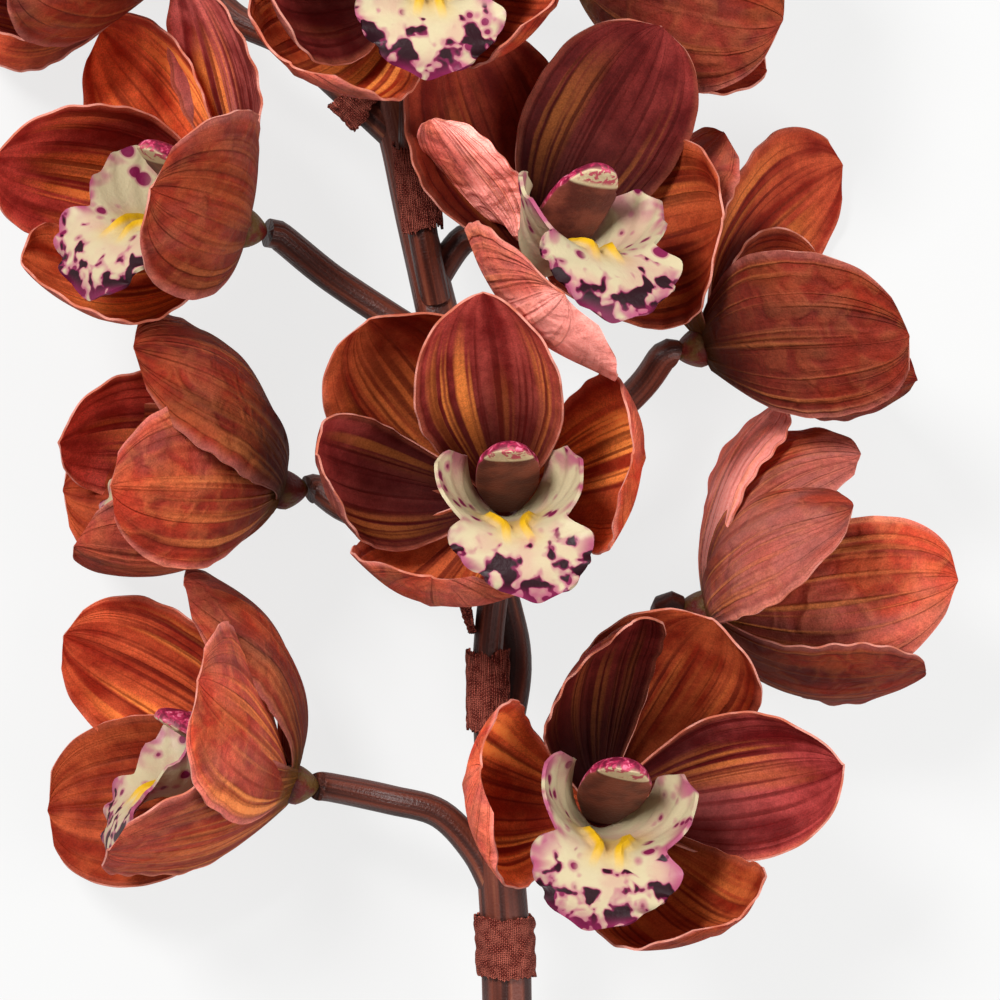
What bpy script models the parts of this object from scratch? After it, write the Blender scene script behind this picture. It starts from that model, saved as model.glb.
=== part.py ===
"""A cymbidium orchid stem with eleven blooms, laid on its back as a cut stem.

Lengths are in metres and angles in degrees. Seen from above, +Y runs up the stem from its cut end to
its tip, +X is to the right and +Z is up, with the ground at z = 0. The tables give places from the
middle of the flowering stretch, at the height of the stem there, and an empty carries them all to the
ground. Each bloom is built in a frame of its own and placed by an empty: +Z is the way it faces, +Y
its upper side, and its origin is where the five tepals meet.
"""

import math
import random
from dataclasses import dataclass

import bmesh
import bpy
from mathutils import Euler, Matrix, Vector

# Tepals: the three outer ones are sepals and the two inner ones are petals.
SEPAL_LENGTH = 0.060
SEPAL_WIDTH = 0.048
PETAL_LENGTH = 0.062
PETAL_WIDTH = 0.043
TEPAL_THICKNESS = 0.0007
BLADE_START = 0.0025
SEPAL_LIFT = 0.0010
PETAL_LIFT = 0.0028
MARGIN_WAVE = 0.0009
WAVES_ALONG = 1.6
WAVE_STEP = 0.382
TIP_SHARE = 0.15
TIP_BOW = 0.07
SEPAL_CELLS = (4, 6)
PETAL_CELLS = (3, 6)

# The receptacle joins the tepals, and the stalk ends straight behind it, a small gap away.
RECEPTACLE_RADIUS = 0.0058
RECEPTACLE_FRONT = 0.0062
GAP = 0.0003
STALK_STRAIGHT = 0.003

# The lip is a trough with two side lobes round the column, then a middle lobe that bends down.
LIP_THICKNESS = 0.0010
LIP_START = (-0.0048, 0.0058)
LIP_FOOT_ANGLE = 4
LIP_TROUGH_LENGTH = 0.027
LIP_BEND_RADIUS = 0.013
LIP_BEND = 115
LIP_HALF_WIDTHS = ((0, 0.005), (0.1, 0.014), (0.25, 0.0245), (0.36, 0.0285), (0.46, 0.0275),
                   (0.53, 0.0220), (0.6, 0.0140), (0.69, 0.0185), (0.78, 0.0165), (0.88, 0.0120),
                   (1, 0.0045))
LIP_CUPS = ((0, 60), (0.1, 90), (0.25, 118), (0.36, 106), (0.46, 84), (0.53, 60), (0.6, 30),
            (0.74, 8), (1, -14))
LIP_WAVE = 0.0012
LIP_WAVES_ALONG = 2.2
LIP_CELLS = (4, 8)

# The column arches over the trough, with a rounded cap and a flat underside.
COLUMN_START = (-0.0030, 0.0060)
COLUMN_LENGTH = 0.036
COLUMN_WIDTH = 0.0165
COLUMN_DEPTH = 0.0115
COLUMN_TILT = 34
COLUMN_BEND = 16
COLUMN_UNDERSIDE = 0.25
COLUMN_SWELL = ((0, 0.75), (0.4, 1), (0.72, 1), (1, 0.8))
COLUMN_SQUARE = 0.5

# The main stem and the flower stalks.
STEM_HEIGHT = 0.0360
STALK_RADIUS = 0.0037
STALK_SPACING = 0.012
STEM_SPACING = 0.0275
STALK_SIDES = 2
STEM_SIDES = 3
BUD_LENGTH = 0.030
BUD_WIDTH = 0.015
BUD_TAPER = 0.35

# The cloth bracts.
BRACT_THICKNESS = 0.0006
BRACT_CELLS = (8, 1)
BRACT_NOTCH = 0.1

# Round bodies start as spheres of these segments and rings.
ROUND_CELLS = (8, 6)
MERGE_DISTANCE = 0.00001
SHARP_ANGLE = 50

# The stem lies on these, each with a small flat spot cut by a block under the ground.
GROUNDED = ("stem", "bloom_10_tepals", "bloom_11_tepals")
GROUND_BLOCK = (1, 1.5, 0.02)

COLLECTION = "cymbidium_orchid_stem"


@dataclass(frozen=True)
class Tepal:
    """One blade, whose spine follows an arc out from the middle of the bloom.

    azimuth goes round the bloom's axis from +X, opening is the spine's mean angle to that axis, and
    curl is how far the spine bends inwards from base to tip. cup is the half angle of the arc across
    the blade, twist turns the blade more and more towards its tip, roll turns all of it, lean moves its
    tip sideways, and belly swells its lower half outwards.
    """

    azimuth: float
    opening: float
    curl: float
    length: float
    width: float
    cup: float
    twist: float
    lean: float
    roll: float
    belly: float
    lift: float
    neck: float
    widest: float
    taper: float
    cells: tuple


@dataclass(frozen=True)
class Bloom:
    """A bloom at a place in the stem's frame, facing yaw to the right of straight up and pitch up it.

    lip is the azimuth that the lip hangs to, opposite the column, and heart turns both by a yaw and a
    pitch of their own. heart_size is their breadth over its full one, and lip_lean moves the lip's
    tip sideways.
    """

    name: str
    place: tuple
    yaw: float
    pitch: float
    lip: float
    route: tuple
    tepals: tuple
    heart: tuple = (0, 0)
    heart_size: float = 1.0
    lip_lean: float = 0.0


@dataclass(frozen=True)
class Bract:
    """A strip of cloth wrapped round a stem, from one angle to another about the line start to end."""

    name: str
    start: tuple
    end: tuple
    radius: float
    angles: tuple
    flare: float = 0.0
    seed: int = 0


def sepal(azimuth, opening, curl, length=SEPAL_LENGTH, width=SEPAL_WIDTH, cup=45, twist=0, lean=0.0, roll=0,
          belly=0.0):
    """An outer tepal, broad and widest past its middle."""
    return Tepal(azimuth, opening, curl, length, width, cup, twist, lean, roll, belly,
                 SEPAL_LIFT, 0.28, 0.58, 0.5, SEPAL_CELLS)


def petal(azimuth, opening, curl, length=PETAL_LENGTH, width=PETAL_WIDTH, cup=35, twist=0, lean=0.0, roll=0,
          belly=0.0):
    """An inner tepal, narrower and more pointed."""
    return Tepal(azimuth, opening, curl, length, width, cup, twist, lean, roll, belly,
                 PETAL_LIFT, 0.24, 0.55, 0.55, PETAL_CELLS)


# Blooms in their order up the stem. A route runs from the main stem to just behind the bloom.
BLOOMS = (
    Bloom(
        "bloom_1", (0.0243, -0.0763, 0.008), yaw=14, pitch=8, lip=-103, heart=(-9, -8),
        route=((0.000, -0.097, -0.001), (0.009, -0.087, -0.006)),
        tepals=(
            sepal(65, 52, 62, cup=30, twist=-5, roll=5),
            sepal(179, 49, 130, length=0.059, width=0.051, cup=55, twist=-5, lean=-0.008),
            sepal(-68, 33, 103, length=0.068, width=0.045, cup=45, twist=5, lean=0.006),
            petal(107, 38, 90, length=0.064, width=0.034, cup=45, twist=20, lean=-0.009, roll=-5),
            petal(8, 58, 54, cup=60, twist=10),
        ),
        lip_lean=-0.003,
    ),
    Bloom(
        "bloom_2", (-0.0512, -0.0716, -0.006), yaw=-70, pitch=6, lip=-95, heart=(-5, 2),
        route=((-0.001, -0.098, 0.000), (-0.0060, -0.088, 0.000), (-0.0150, -0.0785, 0.000),
               (-0.0275, -0.0750, -0.001)),
        tepals=(
            sepal(82, 52, 104, length=0.066, width=0.046, cup=45, twist=-20, roll=-8),
            sepal(-37, 28, 38, cup=20, twist=-25),
            sepal(200, 41, 17, length=0.068, cup=45, twist=-10, lean=-0.002),
            petal(29, 52, 27, cup=30, twist=-15, width=0.05),
            petal(133, 36, 35, length=0.068, width=0.048, cup=10, twist=15, lean=-0.001),
        ),
    ),
    Bloom(
        "bloom_3", (0.0500, -0.0275, 0.001), yaw=92, pitch=-4, lip=-10, heart=(8, 4),
        route=((0.0015, -0.074, 0.000), (0.014, -0.065, -0.008), (0.030, -0.053, -0.010),
               (0.0405, -0.0375, -0.008)),
        tepals=(
            sepal(141, 54, 101, cup=35, twist=-20),
            sepal(250, 10, 65, cup=20, twist=-10, belly=0.003, roll=7),
            sepal(75, 73, 54, length=0.057, cup=15, twist=20),
            petal(107, 51, 113, cup=20, twist=20),
            petal(172, 12, 36, length=0.061, cup=35, lean=-0.010, belly=0.003, roll=6),
        ),
        heart_size=0.7,
    ),
    Bloom(
        "bloom_4", (0.0012, 0.0000, 0.012), yaw=-8, pitch=4, lip=-88, heart=(10, -4),
        route=((-0.0025, -0.066, 0.002), (-0.0029, -0.056, 0.0055), (-0.0031, -0.046, 0.0062),
               (-0.0029, -0.036, 0.0062), (-0.0010, -0.020, 0.0035), (0.0022, -0.009, 0.000)),
        tepals=(
            sepal(125, 55, 54, cup=30, roll=-9),
            sepal(-118, 27, 135, cup=45, twist=10, roll=10),
            sepal(13, 44, 126, cup=45, twist=-20),
            petal(89, 44, 6, cup=65, twist=5),
            petal(182, 39, 110, length=0.065, width=0.035, cup=50, twist=5, lean=-0.009),
        ),
        heart_size=0.93, lip_lean=0.006,
    ),
    Bloom(
        "bloom_5", (-0.0538, 0.0026, -0.002), yaw=-75, pitch=0, lip=-100, heart=(-6, 7),
        route=((-0.004, -0.014, -0.006), (-0.020, -0.0085, -0.005), (-0.0375, -0.0025, -0.002)),
        tepals=(
            sepal(46, 43, 104, length=0.065, width=0.050, cup=40, twist=-5, lean=0.006),
            sepal(-71, 13, 80, length=0.059, cup=70, twist=20),
            sepal(180, 32, 36, cup=45),
            petal(1, 37, 60, cup=35, twist=-10),
            petal(145, 19, 97, cup=20, twist=-5, belly=0.004),
        ),
        heart_size=0.85,
    ),
    Bloom(
        "bloom_6", (0.0491, 0.0379, 0.002), yaw=98, pitch=14, lip=-90,
        route=((-0.005, -0.007, -0.006), (0.012, 0.008, -0.008), (0.0335, 0.0265, -0.002)),
        tepals=(
            sepal(181, 48, 68, length=0.064, width=0.045, cup=15, twist=25, lean=0.009),
            sepal(91, 69, 107, cup=30, twist=25),
            sepal(14, 28, 70, length=0.050),
            petal(51, 38, 60, length=0.068, width=0.044, cup=10, twist=-30, lean=0.004),
            petal(-125, 26, 60, length=0.054),
        ),
        heart_size=0.85,
    ),
    Bloom(
        "bloom_7", (-0.0630, 0.0672, 0.009), yaw=-62, pitch=8, lip=-100, heart=(20, 0),
        route=((-0.014, 0.038, -0.002), (-0.026, 0.045, -0.003), (-0.042, 0.0555, -0.0025)),
        tepals=(
            sepal(124, 64, 24, length=0.066, width=0.044, cup=50, twist=10, lean=0.004),
            sepal(-1, 43, 63, cup=10, twist=-30),
            sepal(-121, 18, 82, cup=40, twist=-10, belly=0.004),
            petal(85, 67, 51, cup=30, twist=10),
            petal(149, 11, 34, cup=30, twist=-10, belly=0.009),
        ),
    ),
    Bloom(
        "bloom_8", (0.0078, 0.0582, 0.020), yaw=28, pitch=6, lip=-97, heart=(-2, 5),
        route=((-0.017, 0.054, -0.002), (-0.009, 0.0655, -0.004), (-0.0015, 0.0635, 0.000)),
        tepals=(
            sepal(115, 82, 20, length=0.056, cup=25),
            sepal(-127, 25, 97, length=0.055, width=0.054, cup=30, twist=-10, lean=-0.004),
            sepal(10, 45, 140, cup=20, twist=-15),
            petal(68, 62, 17, cup=5),
            petal(140, 68, 10, length=0.047, width=0.022, cup=25, lean=-0.001, roll=105),
        ),
    ),
    Bloom(
        "bloom_9", (-0.0200, 0.1262, 0.024), yaw=-5, pitch=4, lip=-92, heart=(11, -9),
        route=((-0.016, 0.050, 0.001), (-0.0185, 0.0625, 0.0062), (-0.0200, 0.0725, 0.0080),
               (-0.0212, 0.085, 0.0092), (-0.0213, 0.0975, 0.0092), (-0.0205, 0.115, 0.005)),
        tepals=(
            sepal(128, 50, 55, cup=45),
            sepal(-130, 38, 92, length=0.064, cup=45, twist=5),
            sepal(-20, 42, 85, cup=55, twist=-10),
            petal(88, 55, 45, cup=40),
            petal(196, 29, 62, cup=35, twist=-10),
        ),
        heart_size=0.96,
    ),
    Bloom(
        "bloom_10", (-0.0830, 0.1320, 0.001), yaw=-64, pitch=15, lip=-84, heart=(2, 0),
        route=((-0.0265, 0.091, -0.002), (-0.0375, 0.101, 0.000), (-0.0525, 0.1138, 0.000),
               (-0.066, 0.1205, -0.002)),
        tepals=(
            sepal(125, 55, 55, cup=45),
            sepal(-28, 36, 62, cup=40),
            sepal(-140, 20, 60, cup=40, twist=-5, belly=0.003),
            petal(70, 55, 45, cup=40),
            petal(196, 64.4, 48, cup=35, twist=5),
        ),
    ),
    Bloom(
        "bloom_11", (0.0180, 0.1330, 0.000), yaw=95, pitch=-12, lip=-105,
        route=((-0.032, 0.120, -0.004), (-0.020, 0.137, -0.008), (-0.004, 0.142, -0.006)),
        tepals=(
            sepal(191, 31, 55, cup=35),
            sepal(90, 55, 55, cup=45),
            sepal(-34, 19, 52, cup=55, twist=-10, belly=0.005),
            petal(20, 30.6, 45, cup=40),
            petal(140, 50, 45, cup=40),
        ),
        heart_size=0.7,
    ),
)

# The main stem's route from the cut end up, with its radius at each point.
STEM_ROUTE = (
    ((0.0000, -0.4000, -0.0300), 0.0064),
    ((0.0005, -0.3500, -0.0300), 0.0064),
    ((0.0012, -0.2900, -0.0255), 0.0064),
    ((0.0020, -0.2300, -0.0180), 0.0064),
    ((0.0020, -0.1750, -0.0100), 0.0064),
    ((0.0018, -0.1250, -0.0040), 0.0064),
    ((0.0013, -0.1075, -0.0020), 0.0063),
    ((0.0000, -0.0875, 0.0000), 0.0060),
    ((-0.0008, -0.0650, 0.0000), 0.0058),
    ((0.0030, -0.0425, -0.0040), 0.0052),
    ((0.0008, -0.0275, -0.0055), 0.0050),
    ((-0.0038, -0.0125, -0.0065), 0.0050),
    ((-0.0088, 0.0075, -0.0055), 0.0050),
    ((-0.0125, 0.0250, -0.0035), 0.0052),
    ((-0.0140, 0.0390, -0.0020), 0.0055),
    ((-0.0175, 0.0550, -0.0020), 0.0052),
    ((-0.0213, 0.0700, -0.0020), 0.0048),
    ((-0.0245, 0.0850, -0.0020), 0.0046),
    ((-0.0275, 0.0975, -0.0020), 0.0045),
    ((-0.0305, 0.1130, -0.0030), 0.0041),
    ((-0.0330, 0.1300, -0.0040), 0.0036),
    ((-0.0350, 0.1500, -0.0060), 0.0031),
    ((-0.0360, 0.1680, -0.0075), 0.0028),
)

BRACTS = (
    Bract("bract_1", (0.0016, -0.1190, -0.0033), (0.0010, -0.1040, -0.0016), 0.0071, (-150, 150), seed=1),
    Bract("bract_2", (-0.0028, -0.0570, 0.0048), (-0.0030, -0.0375, 0.0057), 0.0051, (-80, 100), seed=2),
    Bract("bract_3", (-0.0026, -0.0335, 0.0058), (-0.0018, -0.0275, 0.0050), 0.0048, (45, 125),
          flare=0.003, seed=3),
    Bract("bract_4", (-0.0192, 0.0675, 0.0071), (-0.0214, 0.0880, 0.0092), 0.0048, (-105, 105), seed=4),
    Bract("bract_5", (-0.0395, 0.1025, 0.0000), (-0.0330, 0.0965, -0.0005), 0.0050, (-60, 120), seed=5),
)


def make_material(name, colour, roughness):
    material = bpy.data.materials.new(name)
    material.use_nodes = True
    shader = material.node_tree.nodes["Principled BSDF"]
    shader.inputs["Base Color"].default_value = (*colour, 1)
    shader.inputs["Roughness"].default_value = roughness
    shader.inputs["Metallic"].default_value = 0
    material.diffuse_color = (*colour, 1)
    return material


def new_collection(name, parent):
    collection = bpy.data.collections.new(name)
    parent.children.link(collection)
    return collection


def object_from(bm, name, collection):
    """Turns a bmesh into an object and frees it."""
    bmesh.ops.recalc_face_normals(bm, faces=bm.faces)
    mesh = bpy.data.meshes.new(name)
    bm.to_mesh(mesh)
    bm.free()
    obj = bpy.data.objects.new(name, mesh)
    collection.objects.link(obj)
    return obj


def evaluated_mesh(obj):
    graph = bpy.context.evaluated_depsgraph_get()
    return bpy.data.meshes.new_from_object(obj.evaluated_get(graph))


def apply_modifiers(obj):
    """Replaces the object's mesh by the one that its modifiers make."""
    mesh = evaluated_mesh(obj)
    old = obj.data
    obj.modifiers.clear()
    obj.data = mesh
    bpy.data.meshes.remove(old)


def keep_largest_shell(obj):
    """Drops any scrap, or inner skin of a sealed hollow, that a union leaves."""
    bm = bmesh.new()
    bm.from_mesh(obj.data)
    shells = []
    left = set(bm.verts)
    while left:
        shell = set()
        front = [left.pop()]
        while front:
            vert = front.pop()
            shell.add(vert)
            near = {edge.other_vert(vert) for edge in vert.link_edges} & left
            left -= near
            front.extend(near)
        shells.append(shell)
    shells.sort(key=len)
    for shell in shells[:-1]:
        bmesh.ops.delete(bm, geom=list(shell), context="VERTS")
    bm.to_mesh(obj.data)
    bm.free()


def fuse(obj, collection):
    """Joins every object of the collection to obj by one union, and removes them."""
    modifier = obj.modifiers.new("join", "BOOLEAN")
    modifier.operation = "UNION"
    modifier.operand_type = "COLLECTION"
    modifier.collection = collection
    modifier.solver = "EXACT"
    apply_modifiers(obj)
    for other in list(collection.objects):
        mesh = other.data
        bpy.data.objects.remove(other)
        bpy.data.meshes.remove(mesh)
    keep_largest_shell(obj)


def finish(obj, material):
    """Gives the object its one material and smooth shading between its sharp edges."""
    obj.data.materials.clear()
    obj.data.materials.append(material)
    obj.data.shade_smooth()
    obj.data.set_sharp_from_angle(angle=math.radians(SHARP_ANGLE))


def add_round(bm, radius):
    """Adds a sphere round the origin."""
    bmesh.ops.create_uvsphere(bm, u_segments=ROUND_CELLS[0], v_segments=ROUND_CELLS[1], radius=radius)


def between(stops, share):
    """The value at a share along a list of (share, value) stops, eased from each stop to the next."""
    for (low, first), (high, second) in zip(stops, stops[1:]):
        if share <= high:
            x = (share - low) / (high - low)
            return first + (second - first) * x * x * (3 - 2 * x)
    return stops[-1][1]


def sheet(name, collection, cells, place, thickness):
    """A curved sheet: a grid whose points go to place(across -1..1, along 0..1), made thick."""
    bm = bmesh.new()
    bmesh.ops.create_grid(bm, x_segments=cells[0], y_segments=cells[1], size=1)
    for vert in bm.verts:
        vert.co = place(vert.co.x, (vert.co.y + 1) / 2)
    bmesh.ops.triangulate(bm, faces=bm.faces)
    obj = object_from(bm, name, collection)
    solidify = obj.modifiers.new("thickness", "SOLIDIFY")
    solidify.thickness = thickness
    solidify.offset = 0
    apply_modifiers(obj)
    return obj


def blade_outline(tepal, s):
    """Half width over its largest, at a share s of the length."""
    rise = math.sin(min(s / tepal.widest, 1) * math.pi / 2) ** 1.1
    body = tepal.neck + (1 - tepal.neck) * rise
    past = max(0.0, (s - tepal.widest) / (1 - tepal.widest))
    return body * max(TIP_SHARE, max(0.0, 1 - past ** 2.3) ** tepal.taper)


def blade_point(tepal, v, s, phase):
    """The point at v of the half width and s of the length, in the bloom's frame."""
    azimuth = math.radians(tepal.azimuth)
    outward = Vector((math.cos(azimuth), math.sin(azimuth), 0))
    sideways = Vector((-math.sin(azimuth), math.cos(azimuth), 0))
    axis = Vector((0, 0, 1))
    start = math.radians(tepal.opening + tepal.curl / 2)
    bend = -math.radians(tepal.curl)
    angle = start + bend * s
    reach = tepal.length * (math.cos(start) - math.cos(angle)) / bend
    rise = tepal.length * (math.sin(angle) - math.sin(start)) / bend
    half = tepal.width / 2 * blade_outline(tepal, s)
    cup = math.radians(tepal.cup) * (1.15 - 0.35 * s)
    across = half * math.sin(cup * v) / cup + tepal.lean * s * s
    wave = math.sin(math.tau * (WAVES_ALONG * s + phase) + 1.3 * v) * v * v * min(1, 2 * s)
    depth = half * (1 - math.cos(cup * v)) / cup + MARGIN_WAVE * wave
    inward = axis * math.sin(angle) - outward * math.cos(angle)
    turn = math.radians(tepal.twist * s + tepal.roll * min(1, 4 * s))
    side = sideways * math.cos(turn) + inward * math.sin(turn)
    face = inward * math.cos(turn) - sideways * math.sin(turn)
    swell = tepal.belly * math.sin(math.pi * s ** 0.6)
    spine = outward * (BLADE_START + reach + swell) + axis * (tepal.lift + rise)
    return spine + side * across + face * depth


def make_blade(tepal, phase, collection):
    def place(v, t):
        s = 1 - (1 - t) ** 1.2
        return blade_point(tepal, v, s - TIP_BOW * s ** 4 * v * v, phase)

    return sheet("blade", collection, tepal.cells, place, TEPAL_THICKNESS)


def make_perianth(bloom, collection, blades):
    """The five tepals and the receptacle that carries them, as one fused body."""
    bm = bmesh.new()
    add_round(bm, RECEPTACLE_RADIUS)
    middle = (RECEPTACLE_FRONT - RECEPTACLE_RADIUS) / 2
    stretch = (RECEPTACLE_FRONT + RECEPTACLE_RADIUS) / (2 * RECEPTACLE_RADIUS)
    bmesh.ops.scale(bm, vec=(1, 1, stretch), verts=bm.verts)
    bmesh.ops.translate(bm, vec=(0, 0, middle), verts=bm.verts)
    obj = object_from(bm, bloom.name + "_tepals", collection)
    for i, tepal in enumerate(bloom.tepals):
        make_blade(tepal, i * WAVE_STEP, blades)
    fuse(obj, blades)
    return obj


def along_arc(start, angle, length, bend, distance):
    """A place (y, z) and heading on a straight run of a length and then an arc of radius and angle bend.

    A heading is an angle from +Z towards -Y.
    """
    radius, most = bend
    y, z = start
    heading = math.radians(angle)
    straight = min(distance, length)
    y -= straight * math.sin(heading)
    z += straight * math.cos(heading)
    turned = min(max(0.0, distance - length) / abs(radius), math.radians(most))
    last = heading + math.copysign(turned, radius)
    y += radius * (math.cos(last) - math.cos(heading))
    z += radius * (math.sin(last) - math.sin(heading))
    return y, z, last


def lip_point(bloom, v, u):
    """The point at v of the half width and u of the length of the lip, which hangs towards -Y."""
    total = LIP_TROUGH_LENGTH + LIP_BEND_RADIUS * math.radians(LIP_BEND)
    y, z, heading = along_arc(LIP_START, LIP_FOOT_ANGLE, LIP_TROUGH_LENGTH,
                              (LIP_BEND_RADIUS, LIP_BEND), u * total)
    half = between(LIP_HALF_WIDTHS, u)
    cup = math.radians(between(LIP_CUPS, u))
    across = half * math.sin(cup * v) / cup
    depth = half * (1 - math.cos(cup * v)) / cup
    depth += LIP_WAVE * v * v * math.sin(math.tau * LIP_WAVES_ALONG * u) * min(1, max(0, (u - 0.5) * 5))
    past = min(1.0, max(0.0, (u - 0.45) / 0.65))
    across += bloom.lip_lean / bloom.heart_size * past * past * (3 - 2 * past)
    return Vector((across, y + depth * math.cos(heading), z + depth * math.sin(heading)))


def make_lip(bloom, collection):
    def place(v, u):
        return lip_point(bloom, v, u)

    return sheet(bloom.name + "_lip", collection, LIP_CELLS, place, LIP_THICKNESS)


def make_column(bloom, collection):
    """A club with a rounded cap, its flat underside towards the lip."""
    bm = bmesh.new()
    add_round(bm, 1)
    radius = COLUMN_LENGTH / math.radians(COLUMN_BEND)
    for vert in bm.verts:
        share = (1 + vert.co.z) / 2
        y, z, heading = along_arc(COLUMN_START, -COLUMN_TILT, 0, (radius, COLUMN_BEND), share * COLUMN_LENGTH)
        slim = max(0.001, math.hypot(vert.co.x, vert.co.y))
        grow = between(COLUMN_SWELL, share) / slim ** COLUMN_SQUARE
        across = vert.co.x * grow * COLUMN_WIDTH / 2
        rise = vert.co.y * grow * COLUMN_DEPTH / 2
        if rise < 0:
            rise *= COLUMN_UNDERSIDE
        vert.co = (across, y + rise * math.cos(heading), z + rise * math.sin(heading))
    return object_from(bm, bloom.name + "_column", collection)


def smooth_route(points, spacing):
    """Points read evenly off a Catmull-Rom curve through the given ones, each a tuple of any length."""
    padded = [points[0], *points, points[-1]]
    found = []
    for before, first, second, after in zip(padded, padded[1:], padded[2:], padded[3:]):
        steps = max(1, round(math.dist(first[:3], second[:3]) / spacing))
        for i in range(steps):
            t = i / steps
            weights = (-t + 2 * t * t - t ** 3, 2 - 5 * t * t + 3 * t ** 3,
                       t + 4 * t * t - 3 * t ** 3, -t * t + t ** 3)
            near = zip(before, first, second, after)
            found.append(tuple(sum(w * x for w, x in zip(weights, axis)) / 2 for axis in near))
    return [*found, points[-1]]


def make_tube(name, points, resolution, collection):
    """A closed round tube through points (x, y, z, radius), as a mesh object."""
    curve = bpy.data.curves.new(name, "CURVE")
    curve.dimensions = "3D"
    curve.bevel_depth = 1
    curve.bevel_resolution = resolution
    curve.use_fill_caps = True
    spline = curve.splines.new("POLY")
    spline.points.add(len(points) - 1)
    for target, (x, y, z, radius) in zip(spline.points, points):
        target.co = (x, y, z, 1)
        target.radius = radius
    guide = bpy.data.objects.new(name + "_route", curve)
    collection.objects.link(guide)
    bm = bmesh.new()
    bm.from_mesh(evaluated_mesh(guide))
    bmesh.ops.remove_doubles(bm, verts=bm.verts, dist=MERGE_DISTANCE)
    obj = object_from(bm, name, collection)
    obj.matrix_world = guide.matrix_world
    bpy.data.objects.remove(guide)
    bpy.data.curves.remove(curve)
    return obj


def bloom_matrix(bloom):
    turn = Euler((-math.radians(bloom.pitch), math.radians(bloom.yaw), 0))
    return Matrix.Translation(bloom.place) @ turn.to_matrix().to_4x4()


def stalk_points(bloom):
    """The stalk's route, ending straight behind the receptacle with a small gap."""
    matrix = bloom_matrix(bloom)
    end = matrix @ Vector((0, 0, -RECEPTACLE_RADIUS - GAP))
    behind = matrix @ Vector((0, 0, -RECEPTACLE_RADIUS - STALK_STRAIGHT))
    return [(*point, STALK_RADIUS) for point in (*bloom.route, behind, end)]


def make_stem(collection, stalks):
    """The main stem and all the flower stalks, as one fused body."""
    route = [(*point, radius) for point, radius in STEM_ROUTE]
    obj = make_tube("stem", smooth_route(route, STEM_SPACING), STEM_SIDES, collection)
    for bloom in BLOOMS:
        make_tube("stalk", smooth_route(stalk_points(bloom), STALK_SPACING), STALK_SIDES, stalks)
    fuse(obj, stalks)
    return obj


def make_bract(bract, collection):
    """A ragged strip of cloth round the line from start to end. Angles are from +Z towards -X."""
    start, end = Vector(bract.start), Vector(bract.end)
    ahead = (end - start).normalized()
    top = (Vector((0, 0, 1)) - ahead * ahead.z).normalized()
    left = top.cross(ahead)
    if left.x > 0:
        left.negate()
    low, high = (math.radians(angle) for angle in bract.angles)
    ragged = random.Random(bract.seed)
    notches = [ragged.uniform(-BRACT_NOTCH, BRACT_NOTCH) for _ in range(BRACT_CELLS[0] + 1)]

    def place(v, t):
        notch = notches[round((v + 1) / 2 * BRACT_CELLS[0])]
        angle = low + (high - low) * (v + 1) / 2
        radius = bract.radius + bract.flare * t
        along = start.lerp(end, t + notch)
        return along + (top * math.cos(angle) + left * math.sin(angle)) * radius

    return sheet(bract.name, collection, BRACT_CELLS, place, BRACT_THICKNESS)


def make_bud(collection):
    """A closed bud on the stem's tip."""
    bm = bmesh.new()
    add_round(bm, 1)
    for vert in bm.verts:
        narrow = 1 - BUD_TAPER * max(0.0, vert.co.z)
        vert.co = (vert.co.x * narrow * BUD_WIDTH / 2, vert.co.y * narrow * BUD_WIDTH / 2,
                   (vert.co.z + 1) * BUD_LENGTH / 2)
    obj = object_from(bm, "bud", collection)
    tip, before = Vector(STEM_ROUTE[-1][0]), Vector(STEM_ROUTE[-2][0])
    ahead = (tip - before).normalized()
    obj.rotation_euler = ahead.to_track_quat("Z", "Y").to_euler()
    obj.location = tip + ahead * GAP
    return obj


def make_ground_cutter(collection):
    """A block under the ground, which leaves a small flat spot on each piece that the stem rests on."""
    bm = bmesh.new()
    bmesh.ops.create_cube(bm, size=1)
    bmesh.ops.scale(bm, vec=GROUND_BLOCK, verts=bm.verts)
    bmesh.ops.translate(bm, vec=(0, 0, -GROUND_BLOCK[2] / 2), verts=bm.verts)
    cutter = object_from(bm, "ground_cutter", collection)
    cutter.hide_render = True
    cutter.display_type = "WIRE"
    return cutter


def cut_flat(obj, cutter):
    cut = obj.modifiers.new("flat_spot", "BOOLEAN")
    cut.operation = "DIFFERENCE"
    cut.object = cutter
    cut.solver = "EXACT"


def world_points(obj):
    graph = bpy.context.evaluated_depsgraph_get()
    evaluated = obj.evaluated_get(graph)
    return [evaluated.matrix_world @ vert.co for vert in evaluated.data.vertices]


def centre_over_origin(root, pieces):
    """Moves the root so that the middle of the stem's box is over the origin."""
    bpy.context.view_layer.update()
    points = [point for piece in pieces for point in world_points(piece)]
    for axis in (0, 1):
        values = [point[axis] for point in points]
        root.location[axis] -= (min(values) + max(values)) / 2


def make_bloom(bloom, root, parts, blades, materials):
    """The bloom's tepals, lip and column, under an empty where its tepals meet."""
    empty = bpy.data.objects.new(bloom.name, None)
    empty.empty_display_size = 0.01
    parts.objects.link(empty)
    empty.parent = root
    empty.location = bloom.place
    empty.rotation_euler = (-math.radians(bloom.pitch), math.radians(bloom.yaw), 0)
    tepals = make_perianth(bloom, parts, blades)
    lip = make_lip(bloom, parts)
    column = make_column(bloom, parts)
    yaw, pitch = bloom.heart
    spin = Matrix.Rotation(math.radians(bloom.lip + 90), 4, "Z")
    aim = Euler((-math.radians(pitch), math.radians(yaw), 0)).to_matrix().to_4x4()
    for piece in (lip, column):
        piece.matrix_basis = aim @ spin
        piece.scale = (bloom.heart_size, bloom.heart_size, 1)
    pieces = (tepals, lip, column)
    for piece, kind in zip(pieces, ("tepal", "lip", "column")):
        piece.parent = empty
        finish(piece, materials[kind])
    return pieces


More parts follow.
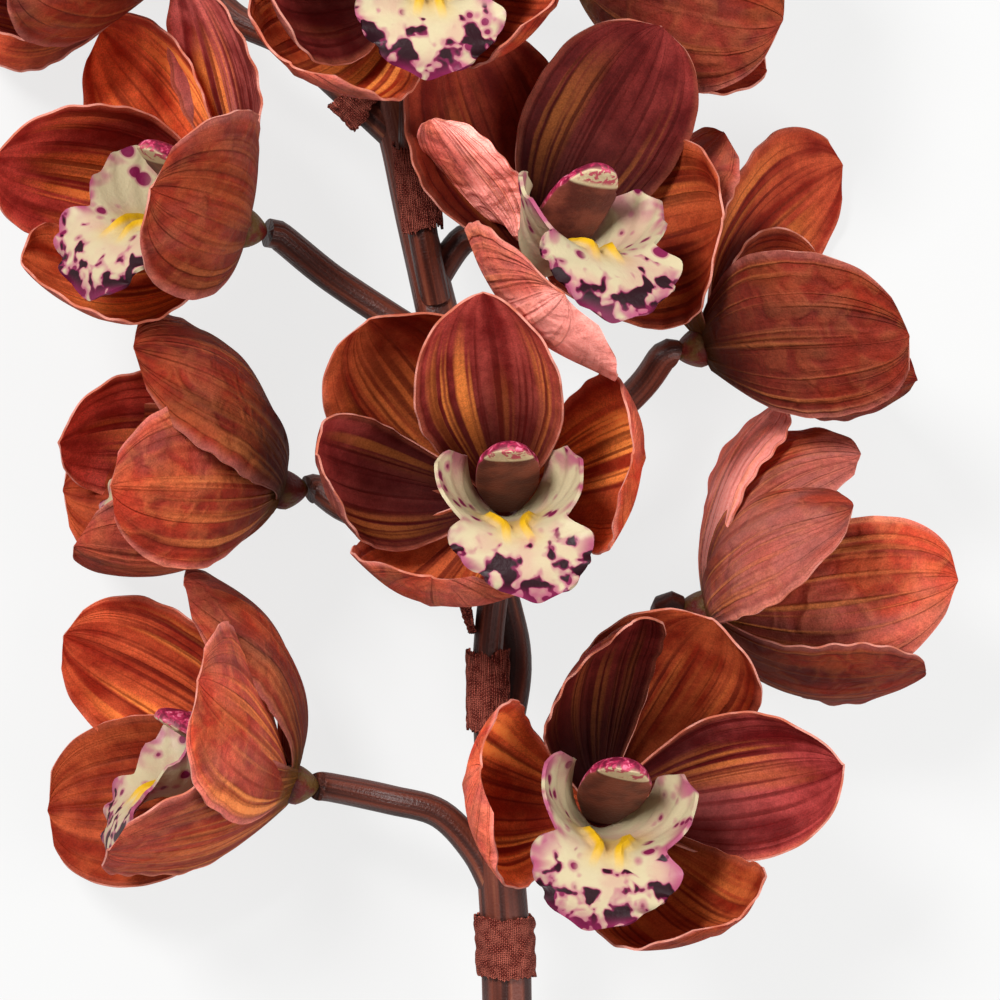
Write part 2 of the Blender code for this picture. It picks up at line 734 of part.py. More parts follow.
def main():
    for obj in list(bpy.data.objects):
        bpy.data.objects.remove(obj)
    scene = bpy.context.scene.collection
    parts = new_collection(COLLECTION, scene)
    cutters = new_collection("cutters", scene)
    blades = new_collection("blades", scene)
    materials = {
        "tepal": make_material("tepal_cloth", (0.42, 0.07, 0.04), 0.85),
        "lip": make_material("lip_rubber", (0.85, 0.72, 0.55), 0.45),
        "column": make_material("column_rubber", (0.55, 0.10, 0.22), 0.45),
        "stem": make_material("stem_plastic", (0.075, 0.032, 0.022), 0.5),
        "bract": make_material("bract_cloth", (0.24, 0.07, 0.04), 0.9),
        "bud": make_material("bud_cloth", (0.35, 0.10, 0.06), 0.85),
    }
    root = bpy.data.objects.new("stem_root", None)
    parts.objects.link(root)
    root.location.z = STEM_HEIGHT

    stem = make_stem(parts, blades)
    finish(stem, materials["stem"])
    pieces = [stem]
    for bract in BRACTS:
        piece = make_bract(bract, parts)
        finish(piece, materials["bract"])
        pieces.append(piece)
    bud = make_bud(parts)
    finish(bud, materials["bud"])
    pieces.append(bud)
    for piece in pieces:
        piece.parent = root
    for bloom in BLOOMS:
        pieces.extend(make_bloom(bloom, root, parts, blades, materials))

    cutter = make_ground_cutter(cutters)
    for piece in pieces:
        if piece.name in GROUNDED:
            cut_flat(piece, cutter)
    centre_over_origin(root, pieces)
    bpy.data.collections.remove(blades)


if __name__ == "__main__":
    main()
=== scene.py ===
"""Looks of a cymbidium orchid stem with eleven cloth blooms, lying on its back on a pale floor.

Lengths are in metres and angles in degrees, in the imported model's frame: +Y runs up the stem, +X is to
the right seen from above, and +Z is up, with the ground at z = 0. The tables give places from the middle
of the flowering stretch, at the height of the stem there. Each bloom is shaped in a frame of its own:
+Z is the way it faces, +Y its upper side, and its origin is where the five tepals meet.
"""

import logging
import math
from collections.abc import Callable, Sequence
from dataclasses import dataclass, field
from enum import Enum
from functools import reduce

import bpy
from mathutils import Euler, Matrix, Vector, noise


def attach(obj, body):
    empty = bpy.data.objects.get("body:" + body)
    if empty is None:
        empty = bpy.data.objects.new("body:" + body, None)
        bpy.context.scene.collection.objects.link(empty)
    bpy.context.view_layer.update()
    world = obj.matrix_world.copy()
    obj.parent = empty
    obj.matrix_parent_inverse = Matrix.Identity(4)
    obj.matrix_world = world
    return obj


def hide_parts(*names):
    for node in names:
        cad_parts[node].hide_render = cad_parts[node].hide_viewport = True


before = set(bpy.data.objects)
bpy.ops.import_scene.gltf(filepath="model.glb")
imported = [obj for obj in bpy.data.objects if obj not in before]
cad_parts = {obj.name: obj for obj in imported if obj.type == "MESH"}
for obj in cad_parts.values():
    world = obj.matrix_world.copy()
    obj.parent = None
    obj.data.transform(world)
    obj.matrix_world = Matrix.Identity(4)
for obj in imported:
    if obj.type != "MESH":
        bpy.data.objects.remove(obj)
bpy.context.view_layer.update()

log = logging.getLogger("orchid_stem")

BODY = "root"
GROUND = 0.0004
MERGE_DISTANCE = 0.00001
SHARP_ANGLE = 50

# The receptacle joins the tepals, and the stalk ends straight behind it, a small gap away.
TEPAL_COUNT = 5
RECEPTACLE_RADIUS = 0.0058
GAP = 0.0003

# The lip's keels stand this share of its half width from its middle line.
KEEL_PLACE = 0.17

# The photograph's middle pixel is this place on the stem's own plane.
PLACE = Vector((0.01457554, 0.10097543, 0.036))
VIEW_WIDTH = 0.250
CAMERA_HEIGHT = 0.900
SENSOR_WIDTH = 36.0

Socket = bpy.types.NodeSocket
Colour = tuple[float, float, float]
Number = Socket | float
Input = Number | Colour
Point = tuple[float, float, float]
Stops = tuple[tuple[float, float], ...]


class DyeAndLight(Enum):
    """Colour of one tepal's cloth: shares of rust over wine, of stripes and of blush, and its lightness,
    partly the cloth's own tone and partly painted light and shade for where the tepal lies in the bloom.
    """

    # The lightness also paints light and shade: SHADE and DEEP darken tepals that lie in shade, and the
    # lightest dyes, such as APRICOT and SCARLET, paint light on tepals that lie in shade.
    WINE = (0.06, 0.50, 0.25, 0.85)
    SHADE = (0.10, 0.30, 0.05, 0.48)
    DEEP = (0.06, 0.60, 0.20, 0.66)
    STRIPED = (0.12, 1.00, 0.30, 1.25)
    CRIMSON = (0.00, 0.50, 0.35, 1.20)
    PINK = (0.05, 0.80, 0.85, 1.45)
    RUST = (0.80, 0.35, 0.15, 0.95)
    AMBER = (0.95, 0.85, 0.25, 1.30)
    DUSKY = (0.40, 0.35, 0.05, 0.80)
    EMBER = (0.60, 0.65, 0.12, 1.25)
    ROSE = (0.60, 0.45, 1.00, 1.60)
    CORAL = (0.45, 0.35, 1.00, 2.30)
    TAN = (0.85, 0.60, 0.40, 0.90)
    SCARLET = (0.20, 0.70, 0.20, 2.00)
    FLAME = (0.70, 1.10, 0.15, 1.60)
    APRICOT = (0.95, 1.10, 0.20, 1.80)
    SIENNA = (0.60, 0.55, 0.08, 0.68)


@dataclass(frozen=True)
class Tepal:
    """One blade, whose spine follows an arc out from the middle of the bloom.

    azimuth goes round the bloom's axis from +X, opening is the spine's mean angle to that axis, and
    curl is how far the spine bends inwards from base to tip. cup is the half angle of the arc across
    the blade, twist turns the blade more and more towards its tip, roll turns all of it, lean moves its
    tip sideways, and belly swells its lower half outwards.
    """

    azimuth: float
    opening: float
    curl: float
    length: float
    width: float
    cup: float
    twist: float
    lean: float
    roll: float
    belly: float
    dye_and_light: DyeAndLight
    lift: float
    neck: float
    widest: float
    taper: float


@dataclass(frozen=True)
class BloomPlan:
    """A bloom at a place in the stem's frame, facing yaw to the right of straight up and pitch up it.

    lip is the azimuth that the lip hangs to, opposite the column, and heart turns both by a yaw and a
    pitch of their own. heart_size is their breadth over its full one, and lip_lean moves the lip's
    tip to the right.
    """

    name: str
    place: Point
    yaw: float
    pitch: float
    lip: float
    route: tuple[Point, ...]
    tepals: tuple[Tepal, ...]
    heart: tuple[float, float] = (0, 0)
    heart_size: float = 1.0
    lip_lean: float = 0.0

    def matrix(self) -> Matrix:
        """Gives the turn and place of the bloom's frame in the model's frame."""
        turn = Euler((-math.radians(self.pitch), math.radians(self.yaw), 0)).to_matrix().to_4x4()
        return Matrix.Translation(PLACE + Vector(self.place)) @ turn

    def heart_matrix(self) -> Matrix:
        """Gives the frame of the lip and the column.

        Returns:
            The frame, with -Y the way the lip hangs.
        """
        yaw, pitch = self.heart
        aim = Euler((-math.radians(pitch), math.radians(yaw), 0)).to_matrix().to_4x4()
        slim = Matrix.Diagonal((self.heart_size, self.heart_size, 1, 1))
        return self.matrix() @ aim @ Matrix.Rotation(math.radians(self.lip + 90), 4, "Z") @ slim


@dataclass(frozen=True)
class BractPlan:
    """A strip of cloth wrapped round a stem, from one angle to another about the line start to end."""

    name: str
    start: Point
    end: Point
    radius: float
    angles: tuple[float, float]
    flare: float = 0.0
    seed: int = 0


def sepal(azimuth: float, opening: float, curl: float, length: float = 0.060, width: float = 0.048,
          cup: float = 45, twist: float = 0, lean: float = 0.0, roll: float = 0, belly: float = 0.0,
          dye_and_light: DyeAndLight = DyeAndLight.RUST) -> Tepal:
    """Gives an outer tepal, broad and widest past its middle."""
    return Tepal(azimuth, opening, curl, length, width, cup, twist, lean, roll, belly, dye_and_light,
                 0.0010, 0.28, 0.58, 0.5)


def petal(azimuth: float, opening: float, curl: float, length: float = 0.062, width: float = 0.043,
          cup: float = 35, twist: float = 0, lean: float = 0.0, roll: float = 0, belly: float = 0.0,
          dye_and_light: DyeAndLight = DyeAndLight.WINE) -> Tepal:
    """Gives an inner tepal, narrower and more pointed."""
    return Tepal(azimuth, opening, curl, length, width, cup, twist, lean, roll, belly, dye_and_light,
                 0.0028, 0.24, 0.55, 0.55)


# Blooms in their order up the stem. A route runs from the main stem to just behind the bloom.
BLOOMS = (
    BloomPlan(
        "bloom_1", (0.0243, -0.0763, 0.008), yaw=14, pitch=8, lip=-103, heart=(-9, -8),
        route=((0.000, -0.097, -0.001), (0.009, -0.087, -0.006)),
        tepals=(
            sepal(65, 52, 62, cup=30, twist=-5, roll=5),
            sepal(179, 49, 130, length=0.059, width=0.051, cup=55, twist=-5, lean=-0.008, dye_and_light=DyeAndLight.APRICOT),
            sepal(-68, 33, 103, length=0.068, width=0.045, cup=45, twist=5, lean=0.006),
            petal(107, 38, 90, length=0.064, width=0.034, cup=45, twist=20, lean=-0.009, roll=-5,
                  dye_and_light=DyeAndLight.SHADE),
            petal(8, 58, 54, cup=60, twist=10, dye_and_light=DyeAndLight.CRIMSON),
        ),
        lip_lean=-0.003,
    ),
    BloomPlan(
        "bloom_2", (-0.0512, -0.0716, -0.006), yaw=-70, pitch=6, lip=-95, heart=(-5, 2),
        route=((-0.001, -0.098, 0.000), (-0.0060, -0.088, 0.000), (-0.0150, -0.0785, 0.000),
               (-0.0275, -0.0750, -0.001)),
        tepals=(
            sepal(82, 52, 104, length=0.066, width=0.046, cup=45, twist=-20, roll=-8),
            sepal(-37, 28, 38, cup=20, twist=-25, dye_and_light=DyeAndLight.EMBER),
            sepal(200, 41, 17, length=0.068, cup=45, twist=-10, lean=-0.002),
            petal(29, 52, 27, cup=30, twist=-15, width=0.05, dye_and_light=DyeAndLight.FLAME),
            petal(133, 36, 35, length=0.068, width=0.048, cup=10, twist=15, lean=-0.001, dye_and_light=DyeAndLight.FLAME),
        ),
    ),
    BloomPlan(
        "bloom_3", (0.0500, -0.0275, 0.001), yaw=92, pitch=-4, lip=-10, heart=(8, 4),
        route=((0.0015, -0.074, 0.000), (0.014, -0.065, -0.008), (0.030, -0.053, -0.010),
               (0.0405, -0.0375, -0.008)),
        tepals=(
            sepal(141, 54, 101, cup=35, twist=-20, dye_and_light=DyeAndLight.TAN),
            sepal(250, 10, 65, cup=20, twist=-10, belly=0.003, roll=7, dye_and_light=DyeAndLight.DUSKY),
            sepal(75, 73, 54, length=0.057, cup=15, twist=20, dye_and_light=DyeAndLight.ROSE),
            petal(107, 51, 113, cup=20, twist=20, dye_and_light=DyeAndLight.TAN),
            petal(172, 12, 36, length=0.061, cup=35, lean=-0.010, belly=0.003, roll=6, dye_and_light=DyeAndLight.AMBER),
        ),
        heart_size=0.7,
    ),
    BloomPlan(
        "bloom_4", (0.0012, 0.0000, 0.012), yaw=-8, pitch=4, lip=-88, heart=(10, -4),
        route=((-0.0025, -0.066, 0.002), (-0.0029, -0.056, 0.0055), (-0.0031, -0.046, 0.0062),
               (-0.0029, -0.036, 0.0062), (-0.0010, -0.020, 0.0035), (0.0022, -0.009, 0.000)),
        tepals=(
            sepal(125, 55, 54, cup=30, roll=-9),
            sepal(-118, 27, 135, cup=45, twist=10, roll=10, dye_and_light=DyeAndLight.AMBER),
            sepal(13, 44, 126, cup=45, twist=-20, dye_and_light=DyeAndLight.FLAME),
            petal(89, 44, 6, cup=65, twist=5, dye_and_light=DyeAndLight.STRIPED),
            petal(182, 39, 110, length=0.065, width=0.035, cup=50, twist=5, lean=-0.009),
        ),
        heart_size=0.93, lip_lean=0.006,
    ),
    BloomPlan(
        "bloom_5", (-0.0538, 0.0026, -0.002), yaw=-75, pitch=0, lip=-100, heart=(-6, 7),
        route=((-0.004, -0.014, -0.006), (-0.020, -0.0085, -0.005), (-0.0375, -0.0025, -0.002)),
        tepals=(
            sepal(46, 43, 104, length=0.065, width=0.050, cup=40, twist=-5, lean=0.006, dye_and_light=DyeAndLight.SIENNA),
            sepal(-71, 13, 80, length=0.059, cup=70, twist=20),
            sepal(180, 32, 36, cup=45),
            petal(1, 37, 60, cup=35, twist=-10, dye_and_light=DyeAndLight.EMBER),
            petal(145, 19, 97, cup=20, twist=-5, belly=0.004, dye_and_light=DyeAndLight.SCARLET),
        ),
        heart_size=0.85,
    ),
    BloomPlan(
        "bloom_6", (0.0491, 0.0379, 0.002), yaw=98, pitch=14, lip=-90,
        route=((-0.005, -0.007, -0.006), (0.012, 0.008, -0.008), (0.0335, 0.0265, -0.002)),
        tepals=(
            sepal(181, 48, 68, length=0.064, width=0.045, cup=15, twist=25, lean=0.009, dye_and_light=DyeAndLight.SIENNA),
            sepal(91, 69, 107, cup=30, twist=25),
            sepal(14, 28, 70, length=0.050),
            petal(51, 38, 60, length=0.068, width=0.044, cup=10, twist=-30, lean=0.004, dye_and_light=DyeAndLight.EMBER),
            petal(-125, 26, 60, length=0.054, dye_and_light=DyeAndLight.DUSKY),
        ),
        heart_size=0.85,
    ),
    BloomPlan(
        "bloom_7", (-0.0630, 0.0672, 0.009), yaw=-62, pitch=8, lip=-100, heart=(20, 0),
        route=((-0.014, 0.038, -0.002), (-0.026, 0.045, -0.003), (-0.042, 0.0555, -0.0025)),
        tepals=(
            sepal(124, 64, 24, length=0.066, width=0.044, cup=50, twist=10, lean=0.004, dye_and_light=DyeAndLight.APRICOT),
            sepal(-1, 43, 63, cup=10, twist=-30),
            sepal(-121, 18, 82, cup=40, twist=-10, belly=0.004, dye_and_light=DyeAndLight.AMBER),
            petal(85, 67, 51, cup=30, twist=10, dye_and_light=DyeAndLight.PINK),
            petal(149, 11, 34, cup=30, twist=-10, belly=0.009, dye_and_light=DyeAndLight.SCARLET),
        ),
    ),
    BloomPlan(
        "bloom_8", (0.0078, 0.0582, 0.020), yaw=28, pitch=6, lip=-97, heart=(-2, 5),
        route=((-0.017, 0.054, -0.002), (-0.009, 0.0655, -0.004), (-0.0015, 0.0635, 0.000)),
        tepals=(
            sepal(115, 82, 20, length=0.056, cup=25, dye_and_light=DyeAndLight.DUSKY),
            sepal(-127, 25, 97, length=0.055, width=0.054, cup=30, twist=-10, lean=-0.004, dye_and_light=DyeAndLight.ROSE),
            sepal(10, 45, 140, cup=20, twist=-15),
            petal(68, 62, 17, cup=5, dye_and_light=DyeAndLight.DEEP),
            petal(140, 68, 10, length=0.047, width=0.022, cup=25, lean=-0.001, roll=105, dye_and_light=DyeAndLight.CORAL),
        ),
    ),
    BloomPlan(
        "bloom_9", (-0.0200, 0.1262, 0.024), yaw=-5, pitch=4, lip=-92, heart=(11, -9),
        route=((-0.016, 0.050, 0.001), (-0.0185, 0.0625, 0.0062), (-0.0200, 0.0725, 0.0080),
               (-0.0212, 0.085, 0.0092), (-0.0213, 0.0975, 0.0092), (-0.0205, 0.115, 0.005)),
        tepals=(
            sepal(128, 50, 55, cup=45),
            sepal(-130, 38, 92, length=0.064, cup=45, twist=5, dye_and_light=DyeAndLight.AMBER),
            sepal(-20, 42, 85, cup=55, twist=-10, dye_and_light=DyeAndLight.EMBER),
            petal(88, 55, 45, cup=40, dye_and_light=DyeAndLight.STRIPED),
            petal(196, 29, 62, cup=35, twist=-10),
        ),
        heart_size=0.96,
    ),
    BloomPlan(
        "bloom_10", (-0.0830, 0.1320, 0.001), yaw=-64, pitch=15, lip=-84, heart=(2, 0),
        route=((-0.0265, 0.091, -0.002), (-0.0375, 0.101, 0.000), (-0.0525, 0.1138, 0.000),
               (-0.066, 0.1205, -0.002)),
        tepals=(
            sepal(125, 55, 55, cup=45),
            sepal(-28, 36, 62, cup=40),
            sepal(-140, 20, 60, cup=40, twist=-5, belly=0.003, dye_and_light=DyeAndLight.CRIMSON),
            petal(70, 55, 45, cup=40),
            petal(196, 64.4, 48, cup=35, twist=5, dye_and_light=DyeAndLight.EMBER),
        ),
    ),
    BloomPlan(
        "bloom_11", (0.0180, 0.1330, 0.000), yaw=95, pitch=-12, lip=-105,
        route=((-0.032, 0.120, -0.004), (-0.020, 0.137, -0.008), (-0.004, 0.142, -0.006)),
        tepals=(
            sepal(191, 31, 55, cup=35, dye_and_light=DyeAndLight.SIENNA),
            sepal(90, 55, 55, cup=45),
            sepal(-34, 19, 52, cup=55, twist=-10, belly=0.005, dye_and_light=DyeAndLight.EMBER),
            petal(20, 30.6, 45, cup=40),
            petal(140, 50, 45, cup=40),
        ),
        heart_size=0.7,
    ),
)

# The main stem's route from the cut end up, with its radius at each point.
STEM_ROUTE = (
    ((0.0000, -0.4000, -0.0300), 0.0064),
    ((0.0005, -0.3500, -0.0300), 0.0064),
    ((0.0012, -0.2900, -0.0255), 0.0064),
    ((0.0020, -0.2300, -0.0180), 0.0064),
    ((0.0020, -0.1750, -0.0100), 0.0064),
    ((0.0018, -0.1250, -0.0040), 0.0064),
    ((0.0013, -0.1075, -0.0020), 0.0063),
    ((0.0000, -0.0875, 0.0000), 0.0060),
    ((-0.0008, -0.0650, 0.0000), 0.0058),
    ((0.0030, -0.0425, -0.0040), 0.0052),
    ((0.0008, -0.0275, -0.0055), 0.0050),
    ((-0.0038, -0.0125, -0.0065), 0.0050),
    ((-0.0088, 0.0075, -0.0055), 0.0050),
    ((-0.0125, 0.0250, -0.0035), 0.0052),
    ((-0.0140, 0.0390, -0.0020), 0.0055),
    ((-0.0175, 0.0550, -0.0020), 0.0052),
    ((-0.0213, 0.0700, -0.0020), 0.0048),
    ((-0.0245, 0.0850, -0.0020), 0.0046),
    ((-0.0275, 0.0975, -0.0020), 0.0045),
    ((-0.0305, 0.1130, -0.0030), 0.0041),
    ((-0.0330, 0.1300, -0.0040), 0.0036),
    ((-0.0350, 0.1500, -0.0060), 0.0031),
    ((-0.0360, 0.1680, -0.0075), 0.0028),
)

BRACTS = (
    BractPlan("bract_1", (0.0016, -0.1190, -0.0033), (0.0010, -0.1040, -0.0016), 0.0071, (-150, 150), seed=1),
    BractPlan("bract_2", (-0.0028, -0.0570, 0.0048), (-0.0030, -0.0375, 0.0057), 0.0051, (-80, 100), seed=2),
    BractPlan("bract_3", (-0.0026, -0.0335, 0.0058), (-0.0018, -0.0275, 0.0050), 0.0048, (45, 125),
              flare=0.003, seed=3),
    BractPlan("bract_4", (-0.0192, 0.0675, 0.0071), (-0.0214, 0.0880, 0.0092), 0.0048, (-105, 105), seed=4),
    BractPlan("bract_5", (-0.0395, 0.1025, 0.0000), (-0.0330, 0.0965, -0.0005), 0.0050, (-60, 120), seed=5),
)


# Modelling by hand tools


def select_only(obj: bpy.types.Object) -> None:
    """Leaves one object selected and active.

    Args:
        obj: The object.
    """
    bpy.ops.object.select_all(action="DESELECT")
    obj.select_set(True)
    bpy.context.view_layer.objects.active = obj


def between(stops: Stops, share: float) -> float:
    """Reads a list of stops, eased from each stop to the next.

    Args:
        stops: Pairs of share and value, in order.
        share: Where to read, from 0 to 1.

    Returns:
        The value there.
    """
    for (low, first), (high, second) in zip(stops, stops[1:]):
        if share <= high:
            return first + (second - first) * ease(share, low, high)
    return stops[-1][1]


def ease(value: float, low: float, high: float) -> float:
    """Gives 0 below low, 1 above high and a smooth rise between."""
    x = min(1.0, max(0.0, (value - low) / (high - low)))
    return x * x * (3 - 2 * x)


def rumple(scale: Point, *place: float) -> float:
    """Gives smooth uneven noise about 0 at a place, each of its numbers scaled by its own."""
    return noise.noise(Vector([size * number for size, number in zip(scale, place)]))


def reshape(name: str, place: Callable[[Vector], Vector]) -> bpy.types.Object:
    """Names the primitive that was just added and moves its points into shape.

    Args:
        name: The new object's name.
        place: Gives the new place of each point.

    Returns:
        The shaped object.
    """
    obj = bpy.context.object
    obj.name = name
    for vert in obj.data.vertices:
        vert.co = place(vert.co.copy())
    return obj


def add_grid(name: str, cells: tuple[int, int], place: Callable[[float, float], Vector]) -> bpy.types.Object:
    """Models a sheet from a grid primitive whose points are moved into shape.

    Args:
        name: The new object's name.
        cells: Cells across and along.
        place: Gives the point at across (-1 to 1) and along (0 to 1).

    Returns:
        The sheet, with its UV map across and along it.
    """
    bpy.ops.object.select_all(action="DESELECT")
    bpy.ops.mesh.primitive_grid_add(x_subdivisions=cells[0], y_subdivisions=cells[1], size=2)
    return reshape(name, lambda flat: place(flat.x, (flat.y + 1) / 2))


def add_ball(name: str, cells: tuple[int, int], place: Callable[[Vector], Vector]) -> bpy.types.Object:
    """Models a round body from a sphere primitive whose points are moved into shape.

    Args:
        name: The new object's name.
        cells: Cells round the ball and from pole to pole.
        place: Gives the new place of a point of the ball, whose radius is 1.

    Returns:
        The body.
    """
    bpy.ops.object.select_all(action="DESELECT")
    bpy.ops.mesh.primitive_uv_sphere_add(segments=cells[0], ring_count=cells[1], radius=1)
    return reshape(name, place)


def close_seams(obj: bpy.types.Object) -> None:
    """Merges the points that meet at a seam or a pole, and turns the faces outwards.

    Args:
        obj: The piece.
    """
    select_only(obj)
    bpy.ops.object.mode_set(mode="EDIT")
    bpy.ops.mesh.select_all(action="SELECT")
    bpy.ops.mesh.remove_doubles(threshold=MERGE_DISTANCE)
    bpy.ops.mesh.normals_make_consistent(inside=False)
    bpy.ops.object.mode_set(mode="OBJECT")


def thicken(obj: bpy.types.Object, thickness: float, inner: int = 0, rim: int = 0) -> None:
    """Gives a sheet its thickness.

    Args:
        obj: The sheet, whose faces have the first material slot.
        thickness: The wall, half of it to each side of the sheet.
        inner: Slot steps from the outer side to the inner one.
        rim: Slot steps from the outer side to the rim.
    """
    select_only(obj)
    wall = obj.modifiers.new("thickness", "SOLIDIFY")
    wall.thickness = thickness
    wall.offset = 0
    wall.material_offset = inner
    wall.material_offset_rim = rim
    bpy.ops.object.modifier_apply(modifier=wall.name)


def mark(obj: bpy.types.Object, name: str, values: float | Sequence[float]) -> None:
    """Writes an attribute of the mesh's points.

    Args:
        obj: The piece.
        name: The attribute's name.
        values: One value for all the points, or one for each.
    """
    layer = obj.data.attributes.new(name, "FLOAT", "POINT")
    count = len(obj.data.vertices)
    layer.data.foreach_set("value", [values] * count if isinstance(values, (int, float)) else list(values))


def unite(pieces: Sequence[bpy.types.Object], name: str) -> bpy.types.Object:
    """Joins pieces that share their material slots.

    Args:
        pieces: The pieces.
        name: The joined object's name.

    Returns:
        The joined object.
    """
    select_only(pieces[0])
    for piece in pieces[1:]:
        piece.select_set(True)
    bpy.ops.object.join()
    obj = bpy.context.object
    obj.name = name
    obj.data.name = name
    return obj


def wear(obj: bpy.types.Object, *finishes: bpy.types.Material) -> None:
    """Puts the materials in the object's slots.

    Args:
        obj: The object.
        *finishes: The materials, in order.
    """
    obj.data.materials.clear()
    for finish in finishes:
        obj.data.materials.append(finish)


def install(obj: bpy.types.Object, node: str, sharp: float = SHARP_ANGLE) -> None:
    """Smooths a piece, puts it in the place of its CAD node and reports it.

    Args:
        obj: The piece.
        node: The CAD node that it stands for.
        sharp: Edges sharper than this angle stay sharp.
    """
    select_only(obj)
    bpy.ops.object.shade_smooth_by_angle(angle=math.radians(sharp))
    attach(obj, BODY)
    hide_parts(node)
    log.info("%s: %d faces", obj.name, len(obj.data.polygons))


def smooth_route(points: Sequence[Sequence[float]], spacing: float) -> list[tuple[float, ...]]:
    """Reads points evenly off a smooth curve through the given ones.

    Args:
        points: The points that the curve goes through, each of any length.
        spacing: The distance between points read.

    Returns:
        The points read, the last given one among them.
    """
    padded = [points[0], *points, points[-1]]
    found: list[tuple[float, ...]] = []
    for before, first, second, after in zip(padded, padded[1:], padded[2:], padded[3:]):
        steps = max(1, round(math.dist(first[:3], second[:3]) / spacing))
        for i in range(steps):
            t = i / steps
            weights = (-t + 2 * t * t - t ** 3, 2 - 5 * t * t + 3 * t ** 3,
                       t + 4 * t * t - 3 * t ** 3, -t * t + t ** 3)
            near = zip(before, first, second, after)
            found.append(tuple(sum(w * x for w, x in zip(weights, axis)) / 2 for axis in near))
    return [*found, tuple(points[-1])]


# Finishes


def paint(red: int, green: int, blue: int) -> Colour:
    """Turns a colour as a screen shows it, 0 to 255, into the linear light that a shader takes."""
    shares = (red / 255, green / 255, blue / 255)
    return tuple(x / 12.92 if x <= 0.04045 else ((x + 0.055) / 1.055) ** 2.4 for x in shares)


@dataclass
class Bench:
    """Adds and joins the nodes of one material."""

    name: str
    material: bpy.types.Material = field(init=False)
    place: Socket = field(init=False)
    own_map: Socket = field(init=False)

    def __post_init__(self) -> None:
        """Starts the material with an empty sheet of nodes and the places on the piece."""
        self.material = bpy.data.materials.new(self.name)
        self.material.use_nodes = True
        self.material.node_tree.nodes.clear()
        places = self.add("TexCoord", {}).outputs
        self.place, self.own_map = places["Object"], places["UV"]

    def add(self, kind: str, inputs: dict[int | str, Input], **settings: str) -> bpy.types.Node:
        """Adds a node.

        Args:
            kind: Its kind, as its type's name ends.
            inputs: What each input is linked to, or its own value.
            **settings: Its other settings.

        Returns:
            The node.
        """
        node = self.material.node_tree.nodes.new(f"ShaderNode{kind}")
        for name, setting in settings.items():
            setattr(node, name, setting)
        for key, value in inputs.items():
            if isinstance(value, bpy.types.NodeSocket):
                self.material.node_tree.links.new(value, node.inputs[key])
            else:
                node.inputs[key].default_value = (*value, 1) if isinstance(value, tuple) else value
        return node

    def uv(self) -> tuple[Socket, Socket]:
        """Gives the piece's own map: across and along, each 0 to 1."""
        split = self.add("SeparateXYZ", {0: self.own_map}).outputs
        return split[0], split[1]

    def attribute(self, name: str) -> Socket:
        """Reads an attribute of the piece's points."""
        return self.add("Attribute", {}, attribute_name=name).outputs["Fac"]

    def math(self, operation: str, first: Number, second: Number = 0.0) -> Socket:
        """Does one sum on two numbers."""
        return self.add("Math", {0: first, 1: second}, operation=operation).outputs[0]

    def plus(self, first: Number, second: Number) -> Socket:
        """Adds two numbers."""
        return self.math("ADD", first, second)

    def less(self, first: Number, second: Number) -> Socket:
        """Takes the second number from the first."""
        return self.math("SUBTRACT", first, second)

    def size(self, value: Socket) -> Socket:
        """Gives a number without its sign."""
        return self.math("ABSOLUTE", value)

    def larger(self, first: Socket, second: Socket) -> Socket:
        """Gives the larger of two numbers."""
        return self.math("MAXIMUM", first, second)

    def times(self, *factors: Number) -> Socket:
        """Multiplies all the numbers together."""
        return reduce(lambda total, factor: self.math("MULTIPLY", total, factor), factors)

    def blend(self, first: Socket, second: Socket, share: float) -> Socket:
        """Adds two patterns, with the second one's share of the whole."""
        return self.plus(self.times(first, 1 - share), self.times(second, share))

    def side(self, across: Socket) -> Socket:
        """Gives how far a place across the piece is from its middle line, 0 to 1."""
        return self.times(self.size(self.less(across, 0.5)), 2.0)

    def rise(self, value: Socket, low: float, high: float, first: float = 0.0, last: float = 1.0) -> Socket:
        """Eases from first, where value is at or below low, to last, where it is at or above high."""
        inputs = {"Value": value, "From Min": low, "From Max": high, "To Min": first, "To Max": last}
        return self.add("MapRange", inputs, interpolation_type="SMOOTHSTEP").outputs[0]

    def fall(self, value: Socket, low: float, high: float) -> Socket:
        """Eases from 1, where value is at or below low, to 0, where it is at or above high."""
        return self.rise(value, low, high, 1.0, 0.0)

    def point(self, x: Number, y: Number, z: Number = 0.0) -> Socket:
        """Makes a place from three numbers."""
        return self.add("CombineXYZ", {0: x, 1: y, 2: z}).outputs[0]

    def clouds(self, place: Socket, scale: float, detail: float = 2.0, distortion: float = 0.0) -> Socket:
        """Gives soft uneven noise, about 0.5 on average."""
        inputs = {"Vector": place, "Scale": scale, "Detail": detail, "Distortion": distortion}
        return self.add("TexNoise", inputs).outputs[0]

    def spots(self, place: Socket, scale: float) -> Socket:
        """Gives the distance to the nearest of many scattered spots."""
        return self.add("TexVoronoi", {"Vector": place, "Scale": scale}).outputs["Distance"]

    def mix(self, share: Number, first: Socket | Colour, second: Socket | Colour,
            way: str = "MIX") -> Socket:
        """Mixes two colours, with a share of the second one over the first."""
        inputs = {0: share, 6: first, 7: second}
        return self.add("Mix", inputs, data_type="RGBA", blend_type=way).outputs[2]

    def lay(self, under: Socket, over: Socket | Colour, *shares: Number) -> Socket:
        """Lays one colour over another, as much as all the shares multiplied."""
        return self.mix(self.times(*shares), under, over)

    def dim(self, colour: Socket, light: Socket) -> Socket:
        """Multiplies a colour by a number."""
        return self.mix(1.0, colour, self.point(light, light, light), "MULTIPLY")

    def relief(self, height: Socket, depth: float, strength: float = 1.0) -> Socket:
        """Turns heights from 0 to 1 into a surface's relief of the given depth."""
        return self.add("Bump", {"Strength": strength, "Distance": depth, "Height": height}).outputs[0]

